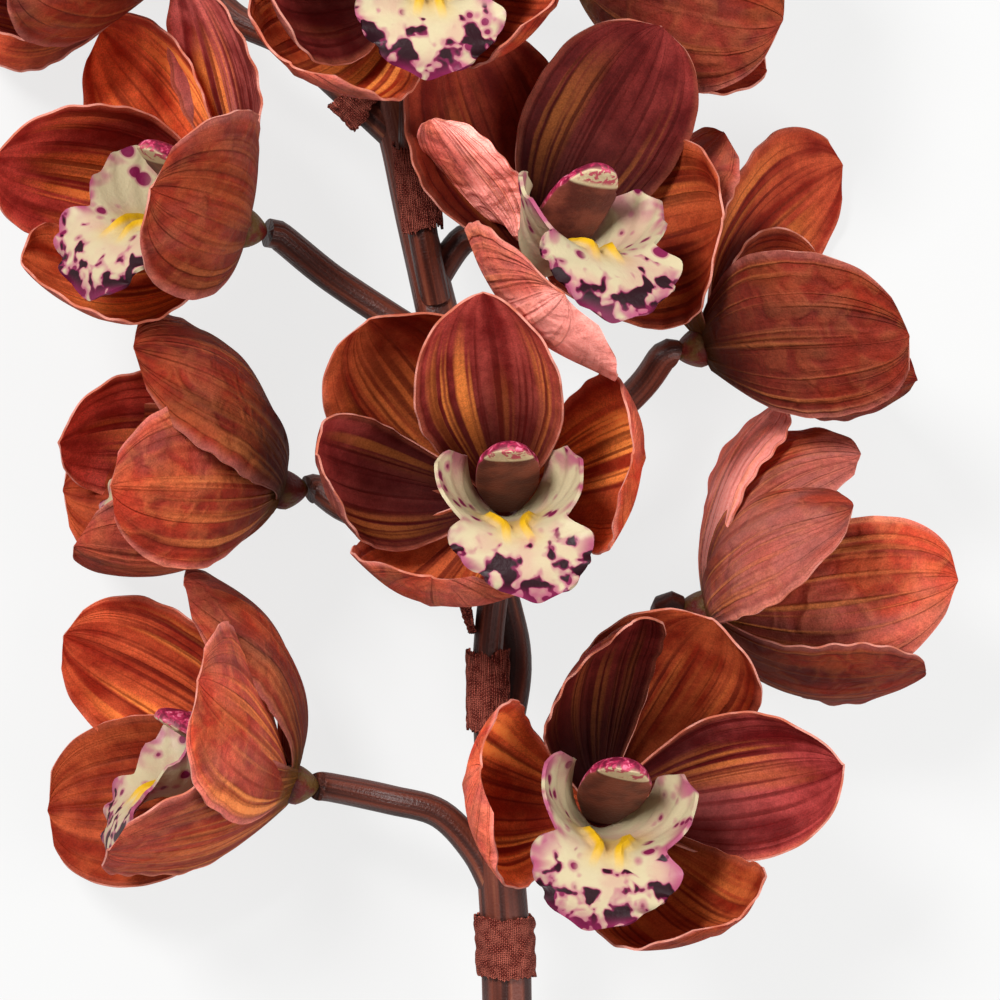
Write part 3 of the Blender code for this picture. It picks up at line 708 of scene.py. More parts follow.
    def surface(self, colour: Socket | Colour, roughness: Number, bump: Socket | None = None,
                gloss: float = 0.5, sheen: float = 0.0, coat: float = 0.0) -> bpy.types.Node:
        """Adds the shader of the surface.

        Args:
            colour: Its colour.
            roughness: Its roughness.
            bump: Its relief, if it has one.
            gloss: How strongly it reflects, 0.5 for plain plastic.
            sheen: How much soft down it has.
            coat: How much clear gloss lies over it.

        Returns:
            The shader's node.
        """
        inputs = {"Base Color": colour, "Roughness": roughness, "Specular IOR Level": gloss,
                  "Sheen Weight": sheen, "Sheen Roughness": 0.5, "Coat Weight": coat, "Coat Roughness": 0.25}
        if bump is not None:
            inputs["Normal"] = bump
        return self.add("BsdfPrincipled", inputs)

    def done(self, shader: bpy.types.Node, glow: Socket | Colour | None = None,
             share: float = 0.0) -> bpy.types.Material:
        """Joins the shader to the output.

        Args:
            shader: The surface's shader.
            glow: The colour of the light that comes through a thin sheet, if any does.
            share: How much of the light comes through.

        Returns:
            The finished material.
        """
        last = shader.outputs[0]
        if glow is not None:
            through = self.add("BsdfTranslucent", {"Color": glow}).outputs[0]
            last = self.add("MixShader", {0: share, 1: last, 2: through}).outputs[0]
        self.add("OutputMaterial", {"Surface": last})
        return self.material


@dataclass(frozen=True)
class PetalCloth:
    """Printed cloth of the tepals: a striped face, a duller veined back and a pale cut rim."""

    wine: Colour = paint(106, 20, 22)
    # deep_wine is also laid on the faces as painted shade towards the base and the heart.
    deep_wine: Colour = paint(58, 7, 9)
    crimson: Colour = paint(172, 50, 50)
    rust: Colour = paint(200, 90, 34)
    deep_rust: Colour = paint(142, 38, 12)
    stripe: Colour = paint(236, 138, 66)
    vein: Colour = paint(80, 10, 10)
    edge: Colour = paint(206, 112, 84)
    back: Colour = paint(182, 58, 24)
    back_wine: Colour = paint(142, 32, 28)
    back_dark: Colour = paint(104, 24, 14)
    back_blush: Colour = paint(238, 152, 140)
    back_sheen: Colour = paint(102, 40, 32)
    back_vein: Colour = paint(222, 132, 74)
    calyx: Colour = paint(104, 72, 26)
    rim: Colour = paint(232, 156, 138)
    glow: float = 0.36
    fine_weave: float = 2400
    loose_weave: float = 700
    creases: float = 150
    stripes_across: float = 19
    veins_across: float = 28
    ribs_across: float = 20
    lines_across: float = 26

    def streaks(self, bench: Bench, count: float, run: float, step: float) -> Socket:
        """Gives streaks that run from the base of each tepal to its tip.

        Args:
            bench: Where the material is made.
            count: How closely the streaks lie across the tepal.
            run: How often they change along it.
            step: A number that sets this pattern apart from others.

        Returns:
            The streaks, from about 0.2 to 0.8.
        """
        across, along = bench.uv()
        seed = bench.plus(bench.times(bench.attribute("seed"), 17.3), step)
        return bench.clouds(bench.point(bench.times(across, count), bench.times(along, run), seed), 1.0, 1.5)

    def grain(self, bench: Bench) -> Socket:
        """Gives the fine uneven weave of the cloth."""
        fine = bench.clouds(bench.place, self.fine_weave, 3.0)
        return bench.blend(fine, bench.clouds(bench.place, self.loose_weave), 0.35)

    def mottle(self, bench: Bench, scale: float, share: float) -> Socket:
        """Gives soft clouds, crossed by the given share of broad streaks."""
        return bench.blend(bench.clouds(bench.place, scale, 3.0), self.streaks(bench, 7, 1.3, 11.0), share)

    def finish(self, bench: Bench, cloth: Socket, speckle: Socket, bump: Socket,
               surface: tuple[float, float]) -> bpy.types.Material:
        """Lightens or darkens the cloth by the tepal's lightness, partly painted light and shade, and lets
        light through it.

        Args:
            bench: Where the material is made.
            cloth: The cloth's colour.
            speckle: The grain, as a share of light.
            bump: The cloth's relief.
            surface: Its roughness and how strongly it reflects.

        Returns:
            The finished material.
        """
        # The tepal's lightness, partly painted light and shade, scales the cloth and its grain.
        cloth = bench.dim(cloth, bench.times(speckle, bench.attribute("tone_and_painted_light")))
        shader = bench.surface(cloth, surface[0], bump, surface[1])
        return bench.done(shader, bench.mix(0.35, cloth, self.rust), self.glow)

    def face(self) -> bpy.types.Material:
        """Makes the tepal's inner side, wine or rust with lighter stripes between dark veins, and painted
        shade towards its base.

        Returns:
            The finished material.
        """
        bench = Bench("tepal_face")
        across, along = bench.uv()
        side = bench.side(across)
        mottle = self.mottle(bench, 130, 0.6)
        grain = self.grain(bench)
        wine = bench.mix(bench.rise(mottle, 0.35, 0.65), self.wine, self.crimson)
        # Painted shade: the wine darkens towards the tepal's base.
        wine = bench.lay(wine, self.deep_wine, bench.fall(along, 0.15, 0.85), 0.9)
        rust = bench.mix(bench.rise(mottle, 0.38, 0.66), self.deep_rust, self.rust)
        cloth = bench.mix(bench.attribute("rust"), wine, rust)
        mottled = bench.rise(mottle, 0.3, 0.8)
        cloth = bench.lay(cloth, self.back_blush, bench.attribute("blush"), mottled, 0.45)
        place = bench.point(bench.times(across, 2.4), bench.times(along, 0.7), bench.attribute("seed"))
        stripes = bench.rise(self.streaks(bench, self.stripes_across, 0.6, 0.0), 0.44, 0.58)
        patches = bench.rise(bench.clouds(place, 1.0, 1.0), 0.42, 0.6)
        ends = bench.times(bench.rise(along, 0.02, 0.2), bench.fall(along, 0.45, 0.9))
        shares = (stripes, ends, bench.fall(side, 0.6, 0.98), patches, bench.attribute("striped"))
        cloth = bench.lay(cloth, self.stripe, *shares)
        veins = bench.rise(self.streaks(bench, self.veins_across, 0.5, 3.0), 0.5, 0.66)
        cloth = bench.lay(cloth, self.vein, veins, bench.fall(along, 0.5, 1.0), 0.75)
        # Painted shade: every tepal darkens towards the heart of the bloom, the rust ones less.
        deep = bench.less(0.92, bench.times(bench.attribute("rust"), 0.45))
        cloth = bench.lay(cloth, self.deep_wine, bench.fall(along, 0.05, 0.55), deep)
        cloth = bench.lay(cloth, self.edge, bench.rise(side, 0.88, 1.0), 0.4)
        bump = bench.relief(bench.plus(bench.times(grain, 0.5), bench.times(veins, -0.5)), 0.0005, 0.7)
        return self.finish(bench, cloth, bench.rise(grain, 0.3, 0.7, 0.72, 1.25), bump, (0.62, 0.10))

    def reverse(self) -> bpy.types.Material:
        """Makes the tepal's outer side, duller, veined, with a painted greyish sheen towards the base, and
        olive where it meets the stalk.

        Returns:
            The finished material.
        """
        bench = Bench("tepal_back")
        across, along = bench.uv()
        blush = bench.attribute("blush")
        grain = self.grain(bench)
        creases = bench.clouds(bench.place, self.creases, 1.5, 0.9)
        warm = bench.mix(bench.attribute("rust"), self.back_wine, self.back)
        cloth = bench.mix(bench.rise(self.mottle(bench, 110, 0.55), 0.3, 0.6), self.back_dark, warm)
        cloth = bench.lay(cloth, self.back_vein, bench.rise(creases, 0.4, 0.62), 0.2)
        patches = bench.plus(bench.clouds(bench.place, 45, 2.0), bench.times(bench.less(across, 0.5), 0.3))
        cloth = bench.lay(cloth, self.back_blush, blush, bench.rise(patches, 0.38, 0.6, 0.25, 1.0))
        # Painted greyish sheen towards the base, on tepals without blush.
        cloth = bench.lay(cloth, self.back_sheen, bench.fall(along, 0.15, 0.6), bench.less(1.0, blush), 0.75)
        ribs = bench.rise(self.streaks(bench, self.ribs_across, 0.7, 5.0), 0.5, 0.66)
        faded = bench.fall(along, 0.3, 0.95)
        cloth = bench.lay(cloth, self.back_vein, ribs, faded, bench.attribute("striped"))
        lines = bench.rise(self.streaks(bench, self.lines_across, 0.6, 8.0), 0.5, 0.68)
        cloth = bench.lay(cloth, self.back_dark, lines, bench.fall(along, 0.5, 1.0), 0.45)
        cloth = bench.lay(cloth, self.back_blush, bench.rise(bench.side(across), 0.86, 1.0), 0.35)
        cloth = bench.lay(cloth, self.calyx, bench.fall(along, 0.03, 0.16), 0.8)
        height = bench.plus(bench.times(grain, 0.3), bench.times(ribs, 0.5))
        bump = bench.relief(bench.plus(height, bench.times(creases, 1.6)), 0.0012, 0.9)
        return self.finish(bench, cloth, bench.rise(grain, 0.3, 0.7, 0.74, 1.22), bump, (0.66, 0.08))

    def margin(self) -> bpy.types.Material:
        """Makes the pale cut rim.

        Returns:
            The finished material.
        """
        bench = Bench("tepal_rim")
        cloth = bench.mix(bench.rise(bench.clouds(bench.place, 160), 0.4, 0.62), self.rim, self.edge)
        bump = bench.relief(bench.clouds(bench.place, self.fine_weave), 0.0003)
        return bench.done(bench.surface(cloth, 0.7, bump, 0.3, 0.1), self.rim, self.glow)

    def heart(self) -> bpy.types.Material:
        """Makes the olive receptacle behind the tepals.

        Returns:
            The finished material.
        """
        bench = Bench("receptacle")
        _, up = bench.uv()
        skin = bench.mix(bench.rise(bench.clouds(bench.place, 260), 0.38, 0.62), self.calyx, self.back_dark)
        skin = bench.lay(skin, self.deep_wine, bench.rise(up, 0.5, 0.65))
        bump = bench.relief(bench.clouds(bench.place, 1200), 0.0004)
        return bench.done(bench.surface(skin, 0.6, bump, 0.4))


@dataclass(frozen=True)
class LipRubber:
    """Painted rubber of the lip: ivory, yellow keels, purple spots and a dark frilled end."""

    ivory: Colour = paint(184, 170, 136)
    shell: Colour = paint(182, 152, 128)
    lilac: Colour = paint(158, 74, 102)
    yellow: Colour = paint(204, 158, 18)
    purple: Colour = paint(112, 20, 62)
    maroon: Colour = paint(34, 2, 12)
    spot_scale: float = 210
    blot_scale: float = 240
    front: tuple[float, float] = (0.67, 0.70)

    def paint_over(self) -> bpy.types.Material:
        """Makes the rubber with its painting.

        Returns:
            The finished material.
        """
        bench = Bench("lip_rubber")
        across, along = bench.uv()
        side = bench.side(across)
        wobble = bench.clouds(bench.place, 115, 2.0, 0.3)
        drift = bench.less(wobble, 0.5)
        skin = bench.mix(bench.rise(wobble, 0.42, 0.7), self.ivory, self.shell)
        edge = bench.larger(bench.rise(side, 0.66, 1.0), bench.rise(along, 0.88, 0.99))
        flushed = bench.rise(wobble, 0.42, 0.58)
        skin = bench.lay(skin, self.lilac, edge, flushed, bench.rise(along, 0.12, 0.5, 0.4, 1.0))
        keels = bench.times(bench.fall(bench.size(bench.less(side, KEEL_PLACE)), 0.03, 0.1),
                            bench.rise(along, 0.3, 0.42), bench.fall(along, 0.6, 0.74))
        stain = bench.times(bench.fall(side, 0.16, 0.5), bench.rise(along, 0.24, 0.42),
                            bench.fall(along, 0.56, 0.76), 0.5)
        skin = bench.lay(skin, self.yellow, bench.larger(keels, stain))
        front = bench.rise(bench.plus(along, bench.times(drift, 0.5)), *self.front)
        tipwards = bench.times(bench.less(along, 0.88), 0.7)
        blots = bench.plus(bench.clouds(bench.place, self.blot_scale, 1.5, 0.3), tipwards)
        blots = bench.plus(blots, bench.rise(side, 0.0, 0.5, -0.07, 0.02))
        skin = bench.lay(skin, self.lilac, bench.rise(blots, 0.4, 0.5), front, 0.75)
        dots = bench.plus(bench.spots(bench.place, self.spot_scale), bench.times(drift, 0.8))
        near = bench.times(bench.rise(side, 0.3, 0.45), bench.rise(along, 0.22, 0.34))
        skin = bench.lay(skin, self.lilac, bench.fall(dots, 0.22, 0.4), near, 0.7)
        skin = bench.lay(skin, self.purple, bench.fall(dots, 0.19, 0.24), near)
        deep = bench.times(bench.rise(blots, 0.5, 0.54), bench.fall(along, 0.9, 1.0))
        dark = bench.times(bench.rise(blots, 0.485, 0.505), front)
        skin = bench.lay(skin, bench.mix(deep, self.purple, self.maroon), dark)
        bump = bench.relief(bench.clouds(bench.place, 900, 2.0), 0.0003, 0.5)
        return bench.done(bench.surface(skin, 0.5, bump, 0.2, 0.0, 0.04), skin, 0.12)


@dataclass(frozen=True)
class ColumnRubber:
    """Painted rubber of the column: magenta back with pale streaks, cream tip, brown underside."""

    magenta: Colour = paint(170, 40, 78)
    dark: Colour = paint(104, 20, 46)
    cream: Colour = paint(196, 176, 140)
    pink: Colour = paint(214, 122, 146)
    brown: Colour = paint(122, 60, 46)
    dusk: Colour = paint(84, 36, 30)

    def paint_over(self) -> bpy.types.Material:
        """Makes the rubber with its painting.

        Returns:
            The finished material.
        """
        bench = Bench("column_rubber")
        along = bench.attribute("along")
        mottle = bench.clouds(bench.place, 520, 3.0, 0.8)
        back = bench.mix(bench.rise(mottle, 0.4, 0.6), self.dark, self.magenta)
        back = bench.lay(back, self.pink, bench.rise(mottle, 0.56, 0.68), 0.8)
        back = bench.lay(back, self.cream, bench.fall(along, 0.15, 0.6), 0.55)
        under = bench.mix(bench.rise(bench.clouds(bench.place, 160, 2.0), 0.35, 0.65), self.dusk, self.brown)
        under = bench.lay(under, self.dusk, bench.fall(along, 0.1, 0.45))
        under = bench.lay(under, self.cream, bench.rise(along, 0.83, 0.86))
        spotted = bench.rise(mottle, 0.5, 0.56)
        under = bench.lay(under, self.magenta, spotted, bench.rise(along, 0.86, 0.9), 0.9)
        skin = bench.mix(bench.attribute("belly"), back, under)
        bump = bench.relief(bench.blend(mottle, bench.clouds(bench.place, 1400), 0.5), 0.0004, 0.7)
        return bench.done(bench.surface(skin, 0.5, bump, 0.25, 0.0, 0.04))


@dataclass(frozen=True)
class StemPlastic:
    """Moulded plastic of the stems: chocolate with lengthwise ridges and painted tan highlights on their
    tops.
    """

    chocolate: Colour = paint(104, 48, 33)
    dark: Colour = paint(46, 16, 10)
    ridge_highlight: Colour = paint(150, 94, 66)
    streaks_around: float = 10

    def mould(self) -> bpy.types.Material:
        """Makes the plastic.

        Returns:
            The finished material.
        """
        bench = Bench("stem_plastic")
        around, run = bench.uv()
        place = bench.point(bench.times(around, self.streaks_around), bench.times(run, 0.9))
        streaks = bench.clouds(place, 1.0, 3.0, 0.4)
        blotch = bench.clouds(bench.place, 60, 3.0)
        skin = bench.mix(bench.rise(streaks, 0.35, 0.65), self.dark, self.chocolate)
        # Painted highlights: tan on the raised streaks, in patches.
        skin = bench.lay(skin, self.ridge_highlight, bench.rise(streaks, 0.56, 0.7), bench.rise(blotch, 0.4, 0.7), 0.8)
        bump = bench.relief(bench.blend(streaks, bench.clouds(bench.place, 1500, 2.0), 0.2), 0.0010, 0.9)
        return bench.done(bench.surface(skin, bench.rise(blotch, 0.3, 0.7, 0.38, 0.55), bump, 0.32))


@dataclass(frozen=True)
class BractCloth:
    """Coarse woven cloth of the bracts, red-brown threads with dark gaps."""

    thread: Colour = paint(104, 38, 30)
    light: Colour = paint(172, 92, 76)
    gap: Colour = paint(36, 10, 9)
    pitch: float = 0.0009

    def weave(self) -> bpy.types.Material:
        """Makes the cloth, with its weave over the piece's own map, in metres.

        Returns:
            The finished material.
        """
        bench = Bench("bract_cloth")
        warp, weft = (bench.math("SINE", bench.times(axis, math.tau / self.pitch)) for axis in bench.uv())
        threads = bench.larger(bench.size(warp), bench.size(weft))
        mottle = bench.clouds(bench.place, 420, 3.0)
        cloth = bench.mix(bench.times(bench.rise(mottle, 0.35, 0.65), 0.7), self.thread, self.light)
        cloth = bench.lay(cloth, self.light, bench.rise(bench.times(warp, weft), 0.1, 0.8), 0.7)
        cloth = bench.lay(cloth, self.gap, bench.fall(threads, 0.4, 0.85))
        return bench.done(bench.surface(cloth, 0.85, bench.relief(threads, 0.0006), 0.1))


@dataclass(frozen=True)
class BudCloth:
    """Cloth of the closed bud, rust with a green-brown foot."""

    rust: Colour = paint(150, 60, 38)
    dark: Colour = paint(92, 34, 26)
    foot: Colour = paint(104, 84, 34)
    streaks_around: float = 22

    def wrap(self) -> bpy.types.Material:
        """Makes the bud's cloth.

        Returns:
            The finished material.
        """
        bench = Bench("bud_cloth")
        around, along = bench.uv()
        place = bench.point(bench.times(around, self.streaks_around), bench.times(along, 1.2))
        streaks = bench.clouds(place, 1.0)
        cloth = bench.mix(bench.rise(streaks, 0.38, 0.62), self.dark, self.rust)
        cloth = bench.lay(cloth, self.foot, bench.fall(along, 0.06, 0.3))
        bump = bench.relief(bench.blend(streaks, bench.clouds(bench.place, 2000), 0.4), 0.0006, 0.8)
        return bench.done(bench.surface(cloth, 0.7, bump, 0.3, 0.2))


@dataclass(frozen=True)
class Finishes:
    """Every finish of the stem, each made once."""

    tepals: tuple[bpy.types.Material, ...]
    lip: bpy.types.Material
    column: bpy.types.Material
    stem: bpy.types.Material
    bract: bpy.types.Material
    bud: bpy.types.Material

    @classmethod
    def make(cls) -> "Finishes":
        """Makes the materials.

        Returns:
            The finishes, with back, face, rim and receptacle for the tepals.
        """
        cloth = PetalCloth()
        tepals = (cloth.reverse(), cloth.face(), cloth.margin(), cloth.heart())
        return cls(tepals, LipRubber().paint_over(), ColumnRubber().paint_over(),
                   StemPlastic().mould(), BractCloth().weave(), BudCloth().wrap())


# The blooms


@dataclass
class Perianth:
    """The five cloth tepals of a bloom and the receptacle that carries them."""

    bloom: BloomPlan
    cells: tuple[int, int] = (40, 48)
    thickness: float = 0.00055
    start: float = 0.0025
    margin_wave: float = 0.0009
    waves_along: float = 1.6
    wave_step: float = 0.382
    row_spread: float = 1.2
    neck_round: float = 1.1
    tip_round: float = 2.3
    tip_share: float = 0.04
    tip_bow: float = 0.035
    cup_base: float = 1.15
    cup_loss: float = 0.35
    ruffle: float = 0.00035
    ruffles_along: float = 7.5
    fold: float = 0.0006
    fold_width: float = 0.07
    crumple: float = 0.0008
    crumple_scale: Point = (1.7, 3.1, 19)
    fray: float = 0.012
    fray_scale: Point = (13, 2, 31)
    seed_scale: float = 50
    seed_spread: float = 5
    receptacle_cells: tuple[int, int] = (24, 16)
    receptacle_front: float = 0.0062
    receptacle_width: float = 0.0050
    receptacle_taper: float = 0.35
    receptacle_lobes: float = 0.04

    def outline(self, tepal: Tepal, s: float) -> float:
        """Gives the half width over its largest.

        Args:
            tepal: The blade.
            s: Share of its length.

        Returns:
            The share of the half width.
        """
        rise = math.sin(min(s / tepal.widest, 1) * math.pi / 2) ** self.neck_round
        body = tepal.neck + (1 - tepal.neck) * rise
        past = max(0.0, (s - tepal.widest) / (1 - tepal.widest))
        return body * max(self.tip_share, max(0.0, 1 - past ** self.tip_round) ** tepal.taper)

    def relief(self, v: float, s: float, phase: float) -> float:
        """Gives the waves, ruffles, middle fold and crumples of a blade.

        Args:
            v: Place across it, -1 to 1.
            s: Share of its length.
            phase: Sets its waves apart from its neighbours'.

        Returns:
            How far the blade's face is raised.
        """
        wave = math.sin(math.tau * (self.waves_along * s + phase) + 1.3 * v) * v * v * min(1, 2 * s)
        ruffle = math.sin(math.tau * self.ruffles_along * s + 9 * phase + 2 * v) * abs(v) ** 5
        fold = math.exp(-(v / self.fold_width) ** 2) * ease(s, 0, 0.2) * (1 - ease(s, 0.8, 1))
        crumple = rumple(self.crumple_scale, v, s, phase) * ease(s, 0.05, 0.35)
        return (self.margin_wave * wave + self.ruffle * ruffle * ease(s, 0.15, 0.5) - self.fold * fold
                + self.crumple * crumple)

    def blade_point(self, tepal: Tepal, v: float, s: float, phase: float) -> Vector:
        """Gives a point of a blade in the bloom's frame.

        Args:
            tepal: The blade.
            v: Place across it, -1 to 1.
            s: Share of its length.
            phase: Sets its waves and its frayed edge apart from its neighbours'.

        Returns:
            The point.
        """
        azimuth = math.radians(tepal.azimuth)
        outward = Vector((math.cos(azimuth), math.sin(azimuth), 0))
        sideways = Vector((-math.sin(azimuth), math.cos(azimuth), 0))
        axis = Vector((0, 0, 1))
        start = math.radians(tepal.opening + tepal.curl / 2)
        bend = -math.radians(tepal.curl)
        angle = start + bend * s
        reach = tepal.length * (math.cos(start) - math.cos(angle)) / bend
        rise = tepal.length * (math.sin(angle) - math.sin(start)) / bend
        frayed = 1 + self.fray * rumple(self.fray_scale, s, v, phase) * min(1, 3 * s)
        half = tepal.width / 2 * self.outline(tepal, s) * frayed
        cup = math.radians(tepal.cup) * (self.cup_base - self.cup_loss * s)
        across = half * math.sin(cup * v) / cup + tepal.lean * s * s
        depth = half * (1 - math.cos(cup * v)) / cup + self.relief(v, s, phase)
        inward = axis * math.sin(angle) - outward * math.cos(angle)
        turn = math.radians(tepal.twist * s + tepal.roll * min(1, 4 * s))
        side = sideways * math.cos(turn) + inward * math.sin(turn)
        face = inward * math.cos(turn) - sideways * math.sin(turn)
        swell = tepal.belly * math.sin(math.pi * s ** 0.6)
        spine = outward * (self.start + reach + swell) + axis * (tepal.lift + rise)
        return spine + side * across + face * depth

    def model_blade(self, number: int, tepal: Tepal) -> bpy.types.Object:
        """Models one tepal from a sheet.

        Args:
            number: Its place in the bloom's list.
            tepal: The blade.

        Returns:
            The tepal, thick, marked with its dye and its lightness, which is partly painted light and shade.
        """
        matrix = self.bloom.matrix()
        phase = number * self.wave_step

        def place(v: float, t: float) -> Vector:
            """Gives the blade's point in the model's frame, kept off the ground.

            Args:
                v: Place across it, -1 to 1.
                t: Place along it, 0 to 1.

            Returns:
                The point.
            """
            s = 1 - (1 - t) ** self.row_spread
            point = matrix @ self.blade_point(tepal, v, s - self.tip_bow * s ** 4 * v * v, phase)
            point.z = max(point.z, GROUND)
            return point

        obj = add_grid(f"tepal_{number}", self.cells, place)
        # The last mark is the lightness, partly painted light and shade.
        for name, value in zip(("rust", "striped", "blush", "tone_and_painted_light"), tepal.dye_and_light.value):
            mark(obj, name, value)
        drift = noise.noise(Vector(self.bloom.place) * self.seed_scale)
        mark(obj, "seed", phase + drift * self.seed_spread)
        return obj

    def model_receptacle(self) -> bpy.types.Object:
        """Models the round body that the tepals grow from.

        Returns:
            The body.
        """
        matrix = self.bloom.matrix()
        middle = (self.receptacle_front - RECEPTACLE_RADIUS) / 2
        tall = (self.receptacle_front + RECEPTACLE_RADIUS) / 2

        def place(unit: Vector) -> Vector:
            """Gives the receptacle's point in the model's frame.

            Args:
                unit: The point on the ball.

            Returns:
                The point.
            """
            lobes = self.receptacle_lobes * math.cos(TEPAL_COUNT * math.atan2(unit.y, unit.x))
            wide = self.receptacle_width * (1 + lobes) * (1 + self.receptacle_taper * min(0.0, unit.z))
            return matrix @ Vector((unit.x * wide, unit.y * wide, unit.z * tall + middle))

        return add_ball("receptacle", self.receptacle_cells, place)

    def build(self, finishes: Finishes) -> None:
        """Builds the tepals and the receptacle as one piece and dresses it.

        Args:
            finishes: The stem's finishes.
        """
        pieces = [self.model_blade(i, tepal) for i, tepal in enumerate(self.bloom.tepals)]
        for blade in pieces:
            wear(blade, *finishes.tepals)
            thicken(blade, self.thickness, inner=1, rim=2)
        ball = self.model_receptacle()
        wear(ball, *finishes.tepals)
        for polygon in ball.data.polygons:
            polygon.material_index = len(finishes.tepals) - 1
        piece = unite([*pieces, ball], f"{self.bloom.name}_cloth_tepals")
        install(piece, f"{self.bloom.name}_tepals")


def along_arc(start: tuple[float, float], angle: float, length: float, bend: tuple[float, float],
              distance: float) -> tuple[float, float, float]:
    """Follows a straight run and then an arc.

    Args:
        start: Where the run starts, as y and z.
        angle: Its heading, from +Z towards -Y.
        length: The straight run's length.
        bend: The arc's radius and the most that it turns.
        distance: How far to go.

    Returns:
        The place's y and z, and the heading there.
    """
    radius, most = bend
    heading = math.radians(angle)
    straight = min(distance, length)
    turned = min(max(0.0, distance - length) / radius, math.radians(most))
    last = heading + turned
    y = start[0] - straight * math.sin(heading) + radius * (math.cos(last) - math.cos(heading))
    z = start[1] + straight * math.cos(heading) + radius * (math.sin(last) - math.sin(heading))
    return y, z, last


@dataclass
class Lip:
    """The rubber lip: a trough with two side lobes, two keels, and a frilled middle lobe."""

    bloom: BloomPlan
    cells: tuple[int, int] = (44, 72)
    thickness: float = 0.0009
    start: tuple[float, float] = (-0.0048, 0.0058)
    foot_angle: float = 4
    trough_length: float = 0.027
    bend_radius: float = 0.013
    bend: float = 115
    half_widths: Stops = ((0, 0.005), (0.1, 0.014), (0.25, 0.0245), (0.36, 0.0285), (0.46, 0.0275),
                          (0.53, 0.0220), (0.6, 0.0140), (0.69, 0.0185), (0.78, 0.0165), (0.88, 0.0120),
                          (1, 0.0045))
    cups: Stops = ((0, 60), (0.1, 90), (0.25, 118), (0.36, 106), (0.46, 84), (0.53, 60), (0.6, 30),
                   (0.74, 8), (1, -14))
    least_cup: float = 0.02
    unevenness: float = 0.03
    uneven_scale: Point = (16, 1, 3.3)
    wave: float = 0.0012
    waves_along: float = 2.2
    frill: float = 0.0010
    frills_along: float = 8.5
    frill_start: tuple[float, float] = (0.5, 0.75)
    keel: float = 0.0026
    keel_start: tuple[float, float] = (0.3, 0.45)
    keel_end: tuple[float, float] = (0.58, 0.7)
    keel_width: float = 0.07
    tip_bow: float = 0.06

    def relief(self, v: float, u: float) -> float:
        """Gives the waves and frills of the middle lobe, and the two keels behind it.

        Args:
            v: Place across the lip, -1 to 1.
            u: Share of its length.

        Returns:
            How far the lip's face is raised.
        """
        wave = v * v * math.sin(math.tau * self.waves_along * u) * min(1, max(0, (u - 0.5) * 5))
        frill = abs(v) ** 4 * math.sin(math.tau * self.frills_along * u + 2 * v) * ease(u, *self.frill_start)
        ridge = math.exp(-((abs(v) - KEEL_PLACE) / self.keel_width) ** 2)
        keel = ridge * ease(u, *self.keel_start) * (1 - ease(u, *self.keel_end))
        return self.wave * wave + self.frill * frill + self.keel * keel

    def point(self, v: float, u: float) -> Vector:
        """Gives a point of the lip, which hangs towards -Y.

        Args:
            v: Place across it, -1 to 1.
            u: Share of its length.

        Returns:
            The point in the heart's frame.
        """
        total = self.trough_length + self.bend_radius * math.radians(self.bend)
        u -= self.tip_bow * v * v * u ** 6
        y, z, heading = along_arc(self.start, self.foot_angle, self.trough_length,
                                  (self.bend_radius, self.bend), u * total)
        half = between(self.half_widths, u) * (1 + self.unevenness * rumple(self.uneven_scale, u, v, 1))
        cup = math.radians(between(self.cups, u))
        cup = cup if abs(cup) > self.least_cup else self.least_cup
        depth = half * (1 - math.cos(cup * v)) / cup + self.relief(v, u)
        swing = self.bloom.lip_lean * ease(u, 0.45, 1.1) / self.bloom.heart_size
        across = half * math.sin(cup * v) / cup + swing
        return Vector((across, y + depth * math.cos(heading), z + depth * math.sin(heading)))

    def build(self, finishes: Finishes) -> None:
        """Builds the lip and dresses it.

        Args:
            finishes: The stem's finishes.
        """
        matrix = self.bloom.heart_matrix()
        piece = add_grid(f"{self.bloom.name}_rubber_lip", self.cells, lambda v, t: matrix @ self.point(v, t))
        wear(piece, finishes.lip)
        thicken(piece, self.thickness)
        install(piece, f"{self.bloom.name}_lip")


